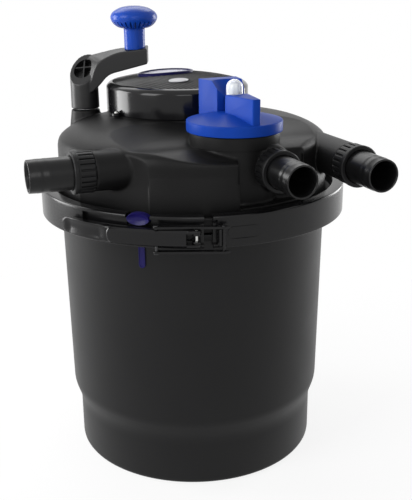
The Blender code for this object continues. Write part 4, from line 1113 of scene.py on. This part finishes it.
@dataclass
class Lid:
    """Moulded cover: crown, front terrace, valve block, ducts and bosses."""

    ports: list[Port]
    radius: float = 0.1755
    crown_z: float = 0.4518
    wall: float = 0.010
    shelf_z: float = 0.3475
    shelf_t: float = 0.007
    lip_r: float = 0.1855
    lip_z: float = 0.3657
    flange_r: float = 0.1900
    terrace: tuple = ((0.02, 0.4538), (-0.036, 0.4518), (-0.062, 0.4445), (-0.098, 0.4385),
                      (-0.112, 0.4345), (-0.138, 0.4342), (-0.172, 0.4225), (-0.25, 0.3990))
    shoulder_z: float = 0.4310
    facet_from: float = 199.0
    facet_to: float = 233.4
    facet_top: float = 0.4375
    block_out: float = 0.0025
    block_from: float = 233.5
    recess_x: tuple[float, float] = (-0.0070, 0.0850)
    recess_y: float = -0.1500
    recess_z: float = 0.3700
    valve: tuple[float, float] = (0.0120, -0.1150)
    neck_r: float = 0.0528
    neck_z: float = 0.4405
    chamber_r: float = 0.0410
    chamber_z: float = 0.3750
    crank: tuple[float, float] = (-0.1180, 0.1000)
    crank_boss_r: float = 0.0228
    crank_hub_r: float = 0.0190
    crank_way_r: float = 0.0099
    sleeve_boss_r: float = 0.0215
    sleeve_way_r: float = 0.0171
    uv_y: float = 0.0575
    pad_rx: float = 0.0945
    stretch: float = 1.10
    pad_z: float = 0.4525
    pad_skirt: float = 0.4320

    def crown(self, inset: float) -> list[tuple[float, ...]]:
        """Outline of crown and side, from the axis down.

        Args:
            inset: distance inside the outer skin.

        Returns:
            The (radius, z) points.
        """
        top = self.crown_z - inset
        side = self.radius - inset
        points = [(0.0, top), (0.115, top - 0.0015, 0.02), (0.143, top - 0.0065, 0.012)]
        points += [(0.162 - inset * 0.5, top - 0.0145, 0.009), (side - 0.0025, top - 0.0230, 0.006)]
        return points + [(side, top - 0.0300, 0.004)]

    def above_terrace(self, name: str, drop: float) -> Shape:
        """Space above the front terrace.

        Args:
            name: name of the shape.
            drop: how far the terrace is lowered.

        Returns:
            The space as a solid.
        """
        side = [(y, z - (drop if i else 0.0), 0.012) for i, (y, z) in enumerate(self.terrace)]
        side += [(-0.25, 0.50), (0.02, 0.50)]
        stand = Matrix(((0, 0, 1, 0), (1, 0, 0, 0), (0, 1, 0, 0), (0, 0, 0, 1)))
        return Shape.slab(name, side, -0.25, 0.25, stand)

    def shell(self) -> Shape:
        """Crown, wall, foot flange and valve block, hollow below.

        Returns:
            The lid without its ducts and bosses.
        """
        foot = self.shelf_z + self.shelf_t
        outer = self.crown(0.0) + [(self.radius + 0.0005, foot), (self.lip_r, foot), (self.lip_r, self.lip_z)]
        outer += [(self.flange_r, self.lip_z, 0.001), (self.flange_r, self.shelf_z), (0, self.shelf_z)]
        body = Shape.turned("lid_cover", outer, 160)
        body.cut(self.above_terrace("terrace_space", 0.0))
        shoulder = self.shoulder_z
        front = self.radius + self.block_out
        side = [(0.0, shoulder + 0.004), (0.140, shoulder + 0.004, 0.010), (0.163, shoulder - 0.003, 0.010)]
        side += [(0.1745, shoulder - 0.0125, 0.008), (front - 0.0015, shoulder - 0.030, 0.008)]
        side += [(front, shoulder - 0.045, 0.005)]
        side += [(front, self.shelf_z + self.shelf_t / 2), (0, self.shelf_z + self.shelf_t / 2)]
        block = Shape.turned("valve_block", side, 160)
        span = arc((0, 0), 0.20, self.block_from, 268.6, 12) + arc((0, 0), 0.14, 268.6, self.block_from, 12)
        body.join(block.keep(Shape.slab("block_span", span, 0.34, 0.45)))
        left, right = self.recess_x
        body.cut(Shape.block("recess", (left, -0.20, self.recess_z), (right, self.recess_y, 0.50)))
        pad = oval((0, self.uv_y), self.pad_rx, self.pad_rx * self.stretch, 96)
        body.join(Shape.slab("uv_pad", pad, self.pad_skirt, self.pad_z))
        for node in SCREWS:
            body.join(disc("screw_boss", SCREW_BOSS_R, self.pad_skirt, self.pad_z, over(node), steps=24))
        bottom = self.shelf_z - 0.01
        hollow = self.crown(self.wall) + [(self.radius - self.wall, bottom), (0, bottom)]
        cavity = Shape.turned("hollow", hollow, 160).cut(self.above_terrace("terrace_under", self.wall))
        low = (left - self.wall, -0.20, self.recess_z - self.wall)
        high = (right + self.wall, self.recess_y + self.wall, 0.50)
        cavity.cut(Shape.block("recess_wall", low, high))
        return body.cut(cavity)

    def build(self) -> None:
        """Make the lid in one moulded skin."""
        body = self.shell()
        spot = moved(*self.valve)
        crank = moved(*self.crank)
        body.join(disc("neck", self.neck_r, self.recess_z - 0.001, self.neck_z, spot, steps=96))
        facet = arc((0, 0), 0.20, self.facet_from, self.facet_to, 12)
        facet += [polar(self.radius, degrees)[:2] for degrees in (self.facet_to, self.facet_from)]
        body.cut(Shape.slab("duct_facet", facet, self.shelf_z + self.shelf_t, self.facet_top))
        for port in self.ports:
            body.join(port.duct())
        front = next(port for port in self.ports if port.label == "front")
        boss = [(0, -0.0012), (0.0262, -0.0012, 0.003), (0.0285, -0.020, 0.004)]
        boss += [(0.0285, -0.045), (0, -0.045)]
        body.join(Shape.turned("front_boss", boss, 64, matrix=front.axis()))
        body.join(disc("crank_boss", self.crank_boss_r, 0.425, 0.4530, crank, self.crank_hub_r, 64))
        body.join(disc("sleeve_boss", self.sleeve_boss_r, 0.4200, 0.4505, steps=48))
        body.melt(0.0014, 5)
        voids = [disc("chamber", self.chamber_r, self.chamber_z, 0.4505, spot, steps=96)]
        voids += [port.bore() for port in self.ports]
        voids += [disc("crank_way", self.crank_way_r, 0.41, 0.47, crank, steps=32)]
        voids += [disc("sleeve_way", self.sleeve_way_r, 0.40, 0.47, steps=48)]
        for node in SCREWS:
            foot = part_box(node)[0].z - GAP
            voids.append(disc("screw_way", SCREW_WAY_R, foot, 0.47, over(node), steps=16))
        body.cut(*voids)
        body.object.name = "lid_shell"
        body.finish(FINISHES[Slot.GRAIN], Body.FILTER, Slot.GRAIN, "lid")


@dataclass
class Valve:
    """Selector valve: fixed collar, turning knob with two wings, and the flow sight on top."""

    x: float = 0.0120
    y: float = -0.1150
    neck_z: float = 0.4405
    collar_r: float = 0.0545
    skirt_r: float = 0.0534
    skirt: float = 0.0060
    collar_top: float = 0.4495
    dish_r: float = 0.040
    scoop_r: tuple[float, float] = (0.0115, 0.0285)
    scoop_foot_r: float = 0.0135
    knob_r: float = 0.0577
    knob_z: float = 0.4505
    rim_t: float = 0.0130
    cone_z: float = 0.4720
    back_z: float = 0.5070
    front_z: float = 0.4930
    wing_deg: float = -86.0
    tail_x: float = -0.0465
    slot_x: float = -0.0100
    nose_in: float = 0.0045
    nose_x: float = 0.0555
    scoop_z: float = 0.4880
    stem_r: float = 0.0110
    stem_top: float = 0.4605
    dome_r: float = 0.0100
    dome_top: float = 0.5100
    sight_z: float = 0.4825

    def collar(self) -> None:
        """Make the fixed collar under the knob."""
        bore = self.stem_r + GAP
        skirt_z = self.neck_z - self.skirt
        profile = [(self.skirt_r, self.neck_z + GAP), (self.skirt_r, skirt_z)]
        profile += [(self.collar_r, skirt_z, 0.0004), (self.collar_r, self.collar_top, 0.001)]
        profile += [(self.dish_r, self.collar_top), (self.dish_r, self.collar_top - 0.002)]
        profile += [(bore, self.collar_top - 0.002), (bore, self.neck_z + 0.004)]
        profile += [(self.stem_r + 0.006, self.neck_z + 0.004), (self.stem_r + 0.006, self.neck_z + GAP)]
        collar = Shape.turned("valve_collar_ring", profile, 96, ring=True, matrix=self.spot())
        collar.finish(FINISHES[Slot.GRAIN], Body.FILTER, Slot.SATIN, "valve_collar")

    def spot(self) -> Matrix:
        """Place of the valve's axis."""
        return moved(self.x, self.y)

    def knob(self) -> None:
        """Make the knob: rim, cone, and the arrow-shaped handle round the flow sight."""
        rim_top = self.knob_z + self.rim_t
        foot_r = self.dish_r - 0.002
        profile = [(0, self.cone_z), (0.022, self.cone_z, 0.006)]
        profile += [(self.knob_r - 0.005, rim_top + 0.0008, 0.003), (self.knob_r, rim_top - 0.0005, 0.0014)]
        profile += [(self.knob_r, self.knob_z, 0.0008), (foot_r, self.knob_z)]
        profile += [(foot_r, self.knob_z - 0.002), (0, self.knob_z - 0.002)]
        knob = Shape.turned("knob_body", profile, 160, matrix=self.spot())
        axis = self.spot() @ spin(self.wing_deg)
        low = self.knob_z + 0.004
        back = [(self.tail_x, -self.half(self.tail_x)), (self.slot_x, -self.half(self.slot_x))]
        back += [(self.slot_x, self.half(self.slot_x)), (self.tail_x, self.half(self.tail_x))]
        tail = Shape.slab("back_wing", back, low, self.back_z, axis)
        inner, outer = self.scoop_r
        tail.cut(disc("scoop", inner, self.scoop_z, self.back_z + 0.0001, self.spot(), outer, 64))
        foot_top = self.scoop_z + 0.001
        tail.cut(disc("scoop_foot", self.scoop_foot_r, low + 0.010, foot_top, self.spot(), steps=48))
        tail.soften(0.0011, 3)
        nose = [(self.nose_in, -self.half(self.nose_in)), (self.nose_x, -self.half(self.nose_x))]
        nose += [(self.nose_x, self.half(self.nose_x)), (self.nose_in, self.half(self.nose_in))]
        fore = Shape.slab("front_wing", nose, low, self.front_z, axis).soften(0.0012, 3)
        hub = disc("sight_post", self.dome_r + 0.0014, low, self.sight_z + 0.004, self.spot(), steps=48)
        knob.join(tail, fore, hub)
        knob.cut(disc("sight_seat", self.dome_r + GAP, 0.482, 0.52, self.spot(), steps=48))
        seat_top = self.stem_top + GAP
        knob.cut(disc("stem_seat", self.stem_r + GAP, self.neck_z, seat_top, self.spot(), steps=48))
        knob.object.name = "valve_handle"
        knob.finish(FINISHES[Slot.VALVE_BLUE], Body.VALVE, Slot.VALVE_BLUE, "valve_knob")

    def half(self, x: float) -> float:
        """Half-width of the arrow-shaped handle at a place along it."""
        return 0.0159 - 0.198 * x

    def sight(self) -> None:
        """Make the clear dome and the white float inside."""
        middle = self.dome_top - self.dome_r
        inner = self.dome_r - 0.0012
        shell = [(self.dome_r * math.sin(a), middle + self.dome_r * math.cos(a)) for a in self.angles()]
        shell += [(self.dome_r, self.sight_z), (inner, self.sight_z)]
        shell += [(inner * math.sin(a), middle + inner * math.cos(a)) for a in reversed(self.angles())]
        dome = Shape.turned("sight_glass", shell, 48, matrix=self.spot())
        dome.finish(FINISHES[Slot.CLEAR], Body.VALVE, Slot.CLEAR, "sight_dome")
        core = [(0, middle + 0.0045), (0.0045, middle + 0.0040, 0.0015), (0.0062, middle - 0.001, 0.002)]
        core += [(0.0062, self.sight_z + 0.004, 0.001), (0.0048, self.sight_z + 0.003)]
        core += [(0.0048, self.sight_z), (0, self.sight_z)]
        float_piece = Shape.turned("sight_float", core, 32, matrix=self.spot())
        float_piece.finish(FINISHES[Slot.WHITE], Body.VALVE, Slot.WHITE, "sight_core")

    @staticmethod
    def angles() -> list[float]:
        """Angles down one quarter of the dome."""
        return [math.pi / 2 * i / 12 for i in range(13)]

    def build(self) -> None:
        """Make every piece of the valve that shows."""
        self.collar()
        self.knob()
        self.sight()


@dataclass
class Clarifier:
    """Gloss oval housing of the UV lamp with its ribbed top, plate, window, screws and gland."""

    y: float = 0.0575
    rx: float = 0.0950
    stretch: float = 1.10
    foot_z: float = 0.4528
    rim_z: float = 0.4850
    crown_z: float = 0.4905
    swell: float = 0.0110
    plate_lift: float = 0.0010
    plate_deg: float = -6.0
    field_rx: float = 0.0865
    panel_t: float = 0.0030
    wall: float = 0.003
    ribs: int = 36
    lean_deg: float = -62.0

    def ring(self, inset: float, z: float) -> list[tuple[float, float, float]]:
        """Oval loop at a height, set in from the outside."""
        return self.level(self.rx - inset, z)

    def housing(self) -> None:
        """Make the gloss shell."""
        edge = self.rx - self.field_rx
        floor_z = self.crown_z - self.panel_t
        middle = self.rx * 0.6
        profile = [(self.wall, self.foot_z), (0.0, self.foot_z, 0.0006), (0.0, self.rim_z, 0.0022)]
        profile += [(0.0045, self.crown_z - 0.0012, 0.002), (edge, self.crown_z, 0.0006), (edge, floor_z)]
        loops = [self.ring(inset, z) for inset, z in eased(profile, closed=False)]
        loops += [self.ring(middle, floor_z)]
        inner = [(middle, floor_z - self.wall), (0.022, floor_z - self.wall)]
        inner += [(self.wall, self.rim_z - 0.0025)]
        top = [point[:2] for point in loops[-1]]
        shell = Shape.skinned("lamp_housing", loops + [self.ring(i, z) for i, z in inner], ring=True)
        shell.join(Shape.slab("housing_hub", top, floor_z - self.wall, floor_z))
        for node in SCREWS:
            spot = over(node)
            lug = disc("lug", SCREW_BOSS_R, self.foot_z + GAP, self.foot_z + 0.0033, spot, steps=32)
            shell.join(lug).cut(disc("lug_way", SCREW_WAY_R, 0.45, 0.47, spot, steps=16))
        shell.object.name = "lamp_housing"
        shell.finish(FINISHES[Slot.GLOSS], Body.FILTER, Slot.GLOSS, "uv_housing")

    def level(self, rx: float, z: float) -> list[tuple[float, float, float]]:
        """Oval loop of the panel at a height."""
        return [(x, y, z) for x, y in oval((0, self.y), rx, rx * self.stretch, 160)]

    def panel_height(self, share: float) -> float:
        """Height of the swelling panel at a share of its radius."""
        return self.crown_z + self.swell * (1 - share * share)

    def panel(self) -> None:
        """Make the swelling panel and the low ribs that lie across it; the panel carries painted shade and
        the ribs a painted highlight.
        """
        base_z = self.crown_z - self.panel_t + GAP
        rx = self.field_rx - GAP
        loops = [self.level(rx * k, base_z) for k in (0.05, 1.0)]
        for i in range(16):
            k = 1 - (i / 16)
            loops.append(self.level(rx * k, self.panel_height(k) - 0.0012))
        plate = Shape.skinned("ribbed_panel", loops)
        # painted shade on the panel between the ribs
        plate.finish(PANEL_PAINTED_SHADE, Body.FILTER, Slot.SATIN, "uv_top_grille")
        pitch = 2 * rx / self.ribs
        lean = math.radians(self.lean_deg)
        work = bmesh.new()
        for i in range(1, self.ribs):
            offset = (i - self.ribs / 2) * pitch
            reach = math.sqrt(rx ** 2 - offset ** 2) - 0.001
            rows = []
            for step in range(17):
                along = reach * (step / 8 - 1)
                row = []
                for share, lift in ((-0.24, -0.0022), (-0.08, 0.0), (0.08, 0.0), (0.24, -0.0022)):
                    across = offset + share * pitch
                    z = self.panel_height(min(1.0, math.hypot(along, across) / rx)) + lift
                    x = along * math.cos(lean) - across * math.sin(lean)
                    y = (along * math.sin(lean) + across * math.cos(lean)) * self.stretch
                    row.append(work.verts.new((x, self.y + y, z)))
                rows.append(row)
            for first, second in zip(rows, rows[1:]):
                for k in range(4):
                    m = (k + 1) % 4
                    work.faces.new((first[k], first[m], second[m], second[k]))
            work.faces.new(rows[0][::-1])
            work.faces.new(rows[-1])
        # painted highlight on the rib tops
        Shape("panel_ridges", work).finish(RIDGE_PAINTED_HIGHLIGHT, Body.FILTER, Slot.SATIN)

    def trim(self) -> None:
        """Make the bare oval plate, the small window, the screws and the cable gland."""
        rim = ((0.05, -0.0016), (1.0, -0.0016), (1.0, 0.0016), (0.97, 0.0021), (0.92, 0.0021), (0.89, 0.0003))
        rim += ((0.05, 0.0003),)
        flat = ((0.05, -0.0004), (1.0, -0.0004), (1.0, 0.0002), (0.96, 0.0005), (0.5, 0.0005), (0.05, 0.0005))
        centre = (-0.0150, self.y + 0.0037)
        blue = Slot.INDEX_BLUE
        self.oval_plate("plate_rim", centre, (0.0380, 0.0250), rim, INDEX_EDGE, blue, "badge_plate")
        self.oval_plate("bare_plate", centre, (0.0334, 0.0208), flat, PLATE_GREY, blue)
        window = (-0.018, self.y - 0.0590)
        axes = (0.0130, 0.0080)
        self.oval_plate("signal_window", window, axes, flat, LENS_GREY, Slot.CLEAR, "indicator_window")
        for node in SCREWS:
            self.screw(node)
        gland_low, gland_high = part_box("cable_gland")
        middle_z = (gland_low.z + gland_high.z) / 2
        axis = toward((0, 1, 0), (0, gland_low.y, middle_z))
        length = gland_high.y - gland_low.y
        gland = [(0.0040, 0.0), (0.0098, 0.0, 0.0004), (0.0098, 0.006, 0.0006), (0.0085, 0.0064)]
        gland += [(0.0085, length - 0.004, 0.001), (0.0062, length, 0.0008), (0.0040, length)]
        piece = Shape.turned("gland_nut", gland, 48, ring=True, matrix=axis)
        piece.finish(FINISHES[Slot.SATIN], Body.FILTER, Slot.SATIN, "cable_gland")

    @staticmethod
    def screw(node: str) -> None:
        """Make one cross-slotted housing screw.

        Args:
            node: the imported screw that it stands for.
        """
        low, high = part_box(node)
        head = high.z - 0.0026
        shank_r = 0.0016
        profile = [(0, high.z), (0.0024, high.z - 0.0002, 0.001), (0.0034, head, 0.0005), (shank_r, head)]
        profile += [(shank_r, low.z), (0, low.z)]
        screw = Shape.turned(node.replace("housing", "cross"), profile, 24, matrix=over(node))
        start = (-0.0019, -0.0004, high.z - 0.0009)
        end = (0.0019, 0.0004, high.z + 0.001)
        for turn in (20.0, 110.0):
            screw.cut(Shape.block("drive", start, end, over(node) @ spin(turn)))
        screw.object.name = node.replace("housing", "cross")
        screw.finish(DULL_STEEL, Body.FILTER, Slot.STEEL, node)

    def oval_plate(self, name: str, centre: Point, axes: Point, rings: Outline,
                   finish: Any, slot: Slot, *nodes: str) -> None:
        """Make a thin oval plate that follows the swelling panel.

        Args:
            name: name of the piece.
            centre: place on the panel.
            axes: half-axes along X and Y.
            rings: share of the half-axes and height above the ribs, from the middle below to that on top.
            finish: the finish that it gets.
            slot: the record's material slot.
            nodes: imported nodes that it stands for.
        """
        loops = []
        for share, lift in rings:
            loop = []
            for x, y in oval(centre, axes[0] * share, axes[1] * share, 64, self.plate_deg):
                spread = math.hypot(x, (y - self.y) / self.stretch) / self.field_rx
                loop.append((x, y, self.panel_height(min(1.0, spread)) + self.plate_lift + lift))
            loops.append(loop)
        Shape.skinned(name, loops).finish(finish, Body.FILTER, slot, *nodes)

    def build(self) -> None:
        """Make every piece of the clarifier that shows."""
        self.housing()
        self.panel()
        self.trim()


@dataclass
class Crank:
    """Cleaning crank: cranked arm with a cored elbow, and the blue mushroom knob."""

    x: float = -0.1180
    y: float = 0.1000
    hub_r: float = 0.0190
    hub_z: float = 0.4548
    heading: float = -20.0
    length: float = 0.0700
    end: float = 0.0870
    width: float = 0.0330
    top_z: float = 0.5220
    shaft_r: float = 0.0070
    axle_r: float = 0.0050
    axle_low: float = 0.5175
    slant_deg: float = 232.0
    slant_z: float = 0.5060
    knob_r: float = 0.0310
    knob_top: float = 0.5880
    cap_h: float = 0.0290
    stem_r: float = 0.01385
    stem_low: float = 0.5318
    bore_top: float = 0.5710
    vents: int = 28

    def arm(self) -> None:
        """Make the arm: round column with a slanted, cored end, and the flat-sided bar."""
        spot = moved(self.x, self.y, 0)
        neck_r = self.hub_r - 0.0003
        profile = [(0, 0.5290), (neck_r, 0.5290), (neck_r, 0.4800), (self.hub_r, self.hub_z, 0.0008)]
        column = Shape.turned("column", [*profile, (0, self.hub_z)], 96, matrix=spot)
        slant = spot @ spin(self.slant_deg) @ moved(0, 0, self.slant_z) @ tip(45)
        column.cut(Shape.block("slant_cut", (-0.06, -0.06, 0), (0.06, 0.06, 0.06), slant))
        under = [(self.end, self.top_z - 0.0085, 0.0014), (0.0341, 0.5000, 0.012), (0.0225, 0.4860, 0.010)]
        under += [(0.0120, 0.4770, 0.004), (0.0050, 0.4760)]
        near = [(0.0005, 0.4780), (0.0110, 0.4900, 0.006), (0.0150, 0.5040, 0.006), (0.0215, 0.5170, 0.009)]
        near += [(0.0447, 0.5290, 0.012), (self.end, self.top_z + 0.0115, 0.0014)]
        far = [(-0.0060, 0.4780), (-0.0060, 0.4900, 0.006), (-0.0060, 0.5080, 0.006), (0.0040, 0.5225, 0.009)]
        far += [(0.0447, 0.5320, 0.012), (self.end, self.top_z + 0.0138, 0.0014)]
        half = self.width / 2
        loops = [[(x, z, w) for x, z in eased(rim + under)] for rim, w in ((near, half), (far, -half))]
        column.join(Shape.skinned("bar", loops, matrix=upright((self.x, self.y, 0), self.heading)))
        column.melt(0.0008, 7)
        pocket = [(0.0145 * math.cos(math.tau * i / 32) * (1.18 if 8 < i < 24 else 1.0),
                   0.0132 * math.sin(math.tau * i / 32)) for i in range(32)]
        core = Shape.slab("core", pocket, -0.0085, 0.02, slant @ moved(0.0005, -0.0004, 0))
        core.cut(Shape.block("rib_long", (-0.03, -0.0009, -0.02), (0.03, 0.0009, -0.0008),
                             slant @ spin(12)))
        core.cut(Shape.block("rib_cross", (-0.0009, -0.03, -0.02), (0.0009, 0.03, -0.0008),
                             slant @ moved(-0.004, 0, 0) @ spin(8)))
        column.cut(core)
        stem = self.knob_spot()
        column.cut(disc("shaft_seat", self.shaft_r + GAP, 0.44, 0.4903, spot, steps=32))
        column.cut(disc("axle_seat", self.axle_r + GAP, self.axle_low - GAP, 0.56, stem, steps=24))
        column.cut(disc("spot_face", self.stem_r + 0.0006, self.stem_low - GAP, 0.56, stem, steps=64))
        column.object.name = "crank_lever"
        column.finish(ARM_BLACK, Body.CRANK, Slot.SATIN, "crank_arm")

    def knob_spot(self) -> Matrix:
        """Place of the knob's axis."""
        reach = polar(self.length, self.heading)
        return moved(self.x + reach.x, self.y + reach.y, 0)

    def knob(self) -> None:
        """Make the knob with the row of slots under its cap."""
        low = self.knob_top - self.cap_h
        bore = self.axle_r + GAP
        top = self.knob_top
        profile = [(0.0062, self.bore_top), (0.0062, top - 0.0022, 0.0006), (0.0074, top - 0.0004, 0.0010)]
        profile += [(0.0185, top - 0.0022, 0.008), (self.knob_r - 0.0025, top - 0.0080, 0.006)]
        profile += [(self.knob_r + 0.0008, top - 0.0145, 0.006), (self.knob_r - 0.0025, low + 0.0065, 0.006)]
        profile += [(self.stem_r + 0.007, low + 0.0010, 0.005), (self.stem_r + 0.0002, low, 0.0015)]
        profile += [(self.stem_r, low - 0.006), (self.stem_r, self.stem_low, 0.0008)]
        profile += [(bore, self.stem_low), (bore, self.bore_top)]
        knob = Shape.turned("cap", profile, 128, ring=True, matrix=self.knob_spot())
        for i in range(self.vents):
            turn = self.knob_spot() @ Matrix.Rotation(math.tau * i / self.vents, 4, "Z")
            knob.cut(Shape.block("vent", (self.stem_r + 0.0030, -0.0009, low - 0.004),
                                 (self.knob_r - 0.0016, 0.0009, low + 0.0090), turn))
        knob.object.name = "crank_grip_knob"
        knob.finish(FINISHES[Slot.CRANK_BLUE], Body.GRIP, Slot.CRANK_BLUE, "crank_knob")

    def axle(self) -> None:
        """Make the axle that the knob turns on."""
        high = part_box("knob_axle")[1]
        profile = [(0, high.z), (self.axle_r, high.z, 0.0006)]
        profile += [(self.axle_r, self.axle_low, 0.0006), (0, self.axle_low)]
        axle = Shape.turned("grip_axle", profile, SMALL_STEPS, matrix=self.knob_spot())
        axle.finish(FINISHES[Slot.STEEL], Body.CRANK, Slot.STEEL, "knob_axle")

    def build(self) -> None:
        """Make the arm, its axle and the knob."""
        self.arm()
        self.axle()
        self.knob()


@dataclass
class Studio:
    """Camera at the photograph's angle, soft lamps, pale floor and background."""

    place: tuple[float, float, float] = (-0.3720, -1.0220, 0.6283)
    bearing: float = -20.9068
    pitch: float = 18.488
    roll: float = 0.4615
    focal_px: float = 829.66
    long_side_px: float = 500.0
    sensor_mm: float = 36.0
    ambient: float = 0.36
    shadow_share: float = 0.16
    fade: tuple[float, float] = (0.25, 0.75)
    floor_r: float = 6.0
    floor_colour: Colour = (0.9, 0.9, 0.9)
    lamps: list[tuple] = field(default_factory=lambda: [
        ("key_left", (-1.7, -0.5, 1.2), (0.9, 1.6), 26.0),
        ("side_left", (-1.5, 1.0, 0.4), (0.8, 1.6), 36.0),
        ("side_right", (1.8, 0.6, 0.4), (0.7, 1.6), 26.0),
        ("top_back", (0.1, 1.2, 1.7), (1.8, 0.8), 11.0),
        ("fill_front", (-0.6, -2.2, 1.3), (1.0, 1.0), 9.0),
    ])

    def camera(self) -> None:
        """Set the camera from the fitted pitch, bearing and roll."""
        pitch, roll = math.radians(self.pitch), math.radians(self.roll)
        turn = Matrix.Rotation(math.radians(self.bearing), 3, "Z")
        ahead = turn @ Vector((0, math.cos(pitch), -math.sin(pitch)))
        right = turn @ Vector((1, 0, 0))
        down = ahead.cross(right)
        level, tilt = math.cos(roll), math.sin(roll)
        across = right * level + down * tilt
        below = down * level - right * tilt
        rotation = Matrix((across, -below, -ahead)).transposed()
        data = bpy.data.cameras.new("camera")
        data.sensor_width = self.sensor_mm
        data.lens = self.focal_px * self.sensor_mm / self.long_side_px
        camera = bpy.data.objects.new("camera", data)
        camera.matrix_world = Matrix.Translation(self.place) @ rotation.to_4x4()
        bpy.context.scene.collection.objects.link(camera)
        bpy.context.scene.camera = camera

    def lights(self) -> None:
        """Place the area lamps, all aimed at the middle of the filter."""
        target = Vector((0, 0, 0.30))
        for name, spot, size, power in self.lamps:
            data = bpy.data.lights.new(name, "AREA")
            data.shape = "RECTANGLE"
            data.size, data.size_y = size
            data.energy = power
            lamp = bpy.data.objects.new(name, data)
            aim = (target - Vector(spot)).to_track_quat("-Z", "Y")
            lamp.matrix_world = Matrix.Translation(spot) @ aim.to_matrix().to_4x4()
            bpy.context.scene.collection.objects.link(lamp)

    @staticmethod
    def seen(board: Board) -> Wire:
        """1 for rays that look at the background: camera, mirror and glass rays.

        Args:
            board: the node tree that asks.

        Returns:
            1 or 0 as a wire.
        """
        kinds = ("Is Camera Ray", "Is Glossy Ray", "Is Transmission Ray")
        camera, glossy, glass = [board.node("ShaderNodeLightPath", output=kind) for kind in kinds]
        return camera.highest(glossy).highest(glass)

    def world(self) -> None:
        """White behind the object, soft grey for the light that it gives."""
        world = bpy.data.worlds.new("studio")
        bpy.context.scene.world = world
        board = Board(world)
        glow = board.tree.nodes["Background"]
        board.feed(glow.inputs["Color"], (1, 1, 1))
        board.feed(glow.inputs["Strength"], self.ambient + self.seen(board) * (1.0 - self.ambient))

    def floor(self) -> None:
        """Pale floor that fades into the white background and keeps a soft shadow."""
        work = bmesh.new()
        bmesh.ops.create_circle(work, cap_ends=True, segments=96, radius=self.floor_r)
        mesh = bpy.data.meshes.new("floor")
        work.to_mesh(mesh)
        work.free()
        floor = bpy.data.objects.new("floor", mesh)
        floor.location.z = -0.0005
        bpy.context.scene.collection.objects.link(floor)
        board = Board(bpy.data.materials.new("pale_floor"))
        board.set(Base_Color=self.floor_colour, Roughness=0.9)
        away = board.node("ShaderNodeVectorMath", {"operation": "LENGTH"}, {0: board.place()}, "Value")
        near, far = self.fade
        marks = {"Value": away, "From Min": near, "From Max": far}
        marks.update({"To Min": 1.0 - self.shadow_share, "To Max": 1.0})
        share = self.seen(board) * board.node("ShaderNodeMapRange", None, marks, "Result")
        paper = Wire(board, board.shader.outputs[0])
        glow = board.node("ShaderNodeEmission")
        mixed = board.node("ShaderNodeMixShader", None, {0: share, 1: paper, 2: glow})
        board.feed(board.tree.nodes["Material Output"].inputs["Surface"], mixed)
        mesh.materials.append(board.owner)

    def build(self) -> None:
        """Set the whole studio."""
        bpy.context.scene.view_settings.view_transform = "Standard"
        self.camera()
        self.lights()
        self.world()
        self.floor()


def dress_inner_nodes() -> None:
    """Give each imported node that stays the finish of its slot."""
    slots = {row["node"]: row["material_slot"] for row in frame["record"]["subparts"]}
    for name, node in frame["nodes"].items():
        if node.hide_render:
            continue
        finish = FINISHES[Slot(slots[name])]
        node.data.materials.clear()
        node.data.materials.append(PALETTE.get(finish))
        LOG.info("%s keeps its solid, finish %s", name, finish.name)


def main() -> None:
    """Build the studio and every sub-assembly in order."""
    logging.basicConfig(level=logging.INFO, format="%(message)s")
    Studio().build()
    ports = [
        Port("left", (-1, 0, 0), 0.1355),
        Port("front", (0, -1, 0), 0.0625),
        Port("right", (0, -1, 0), 0.1100),
    ]
    assemblies: Iterable[Any] = [
        Canister(), IndexMarks(), ClampBand(), Latch(), Lid(ports),
        *[HoseUnion(port, Body("nut_" + port.label)) for port in ports],
        Valve(), Clarifier(), Crank(),
    ]
    for assembly in assemblies:
        LOG.info("building %s", type(assembly).__name__)
        assembly.build()
    dress_inner_nodes()


if __name__ == "__main__":
    main()
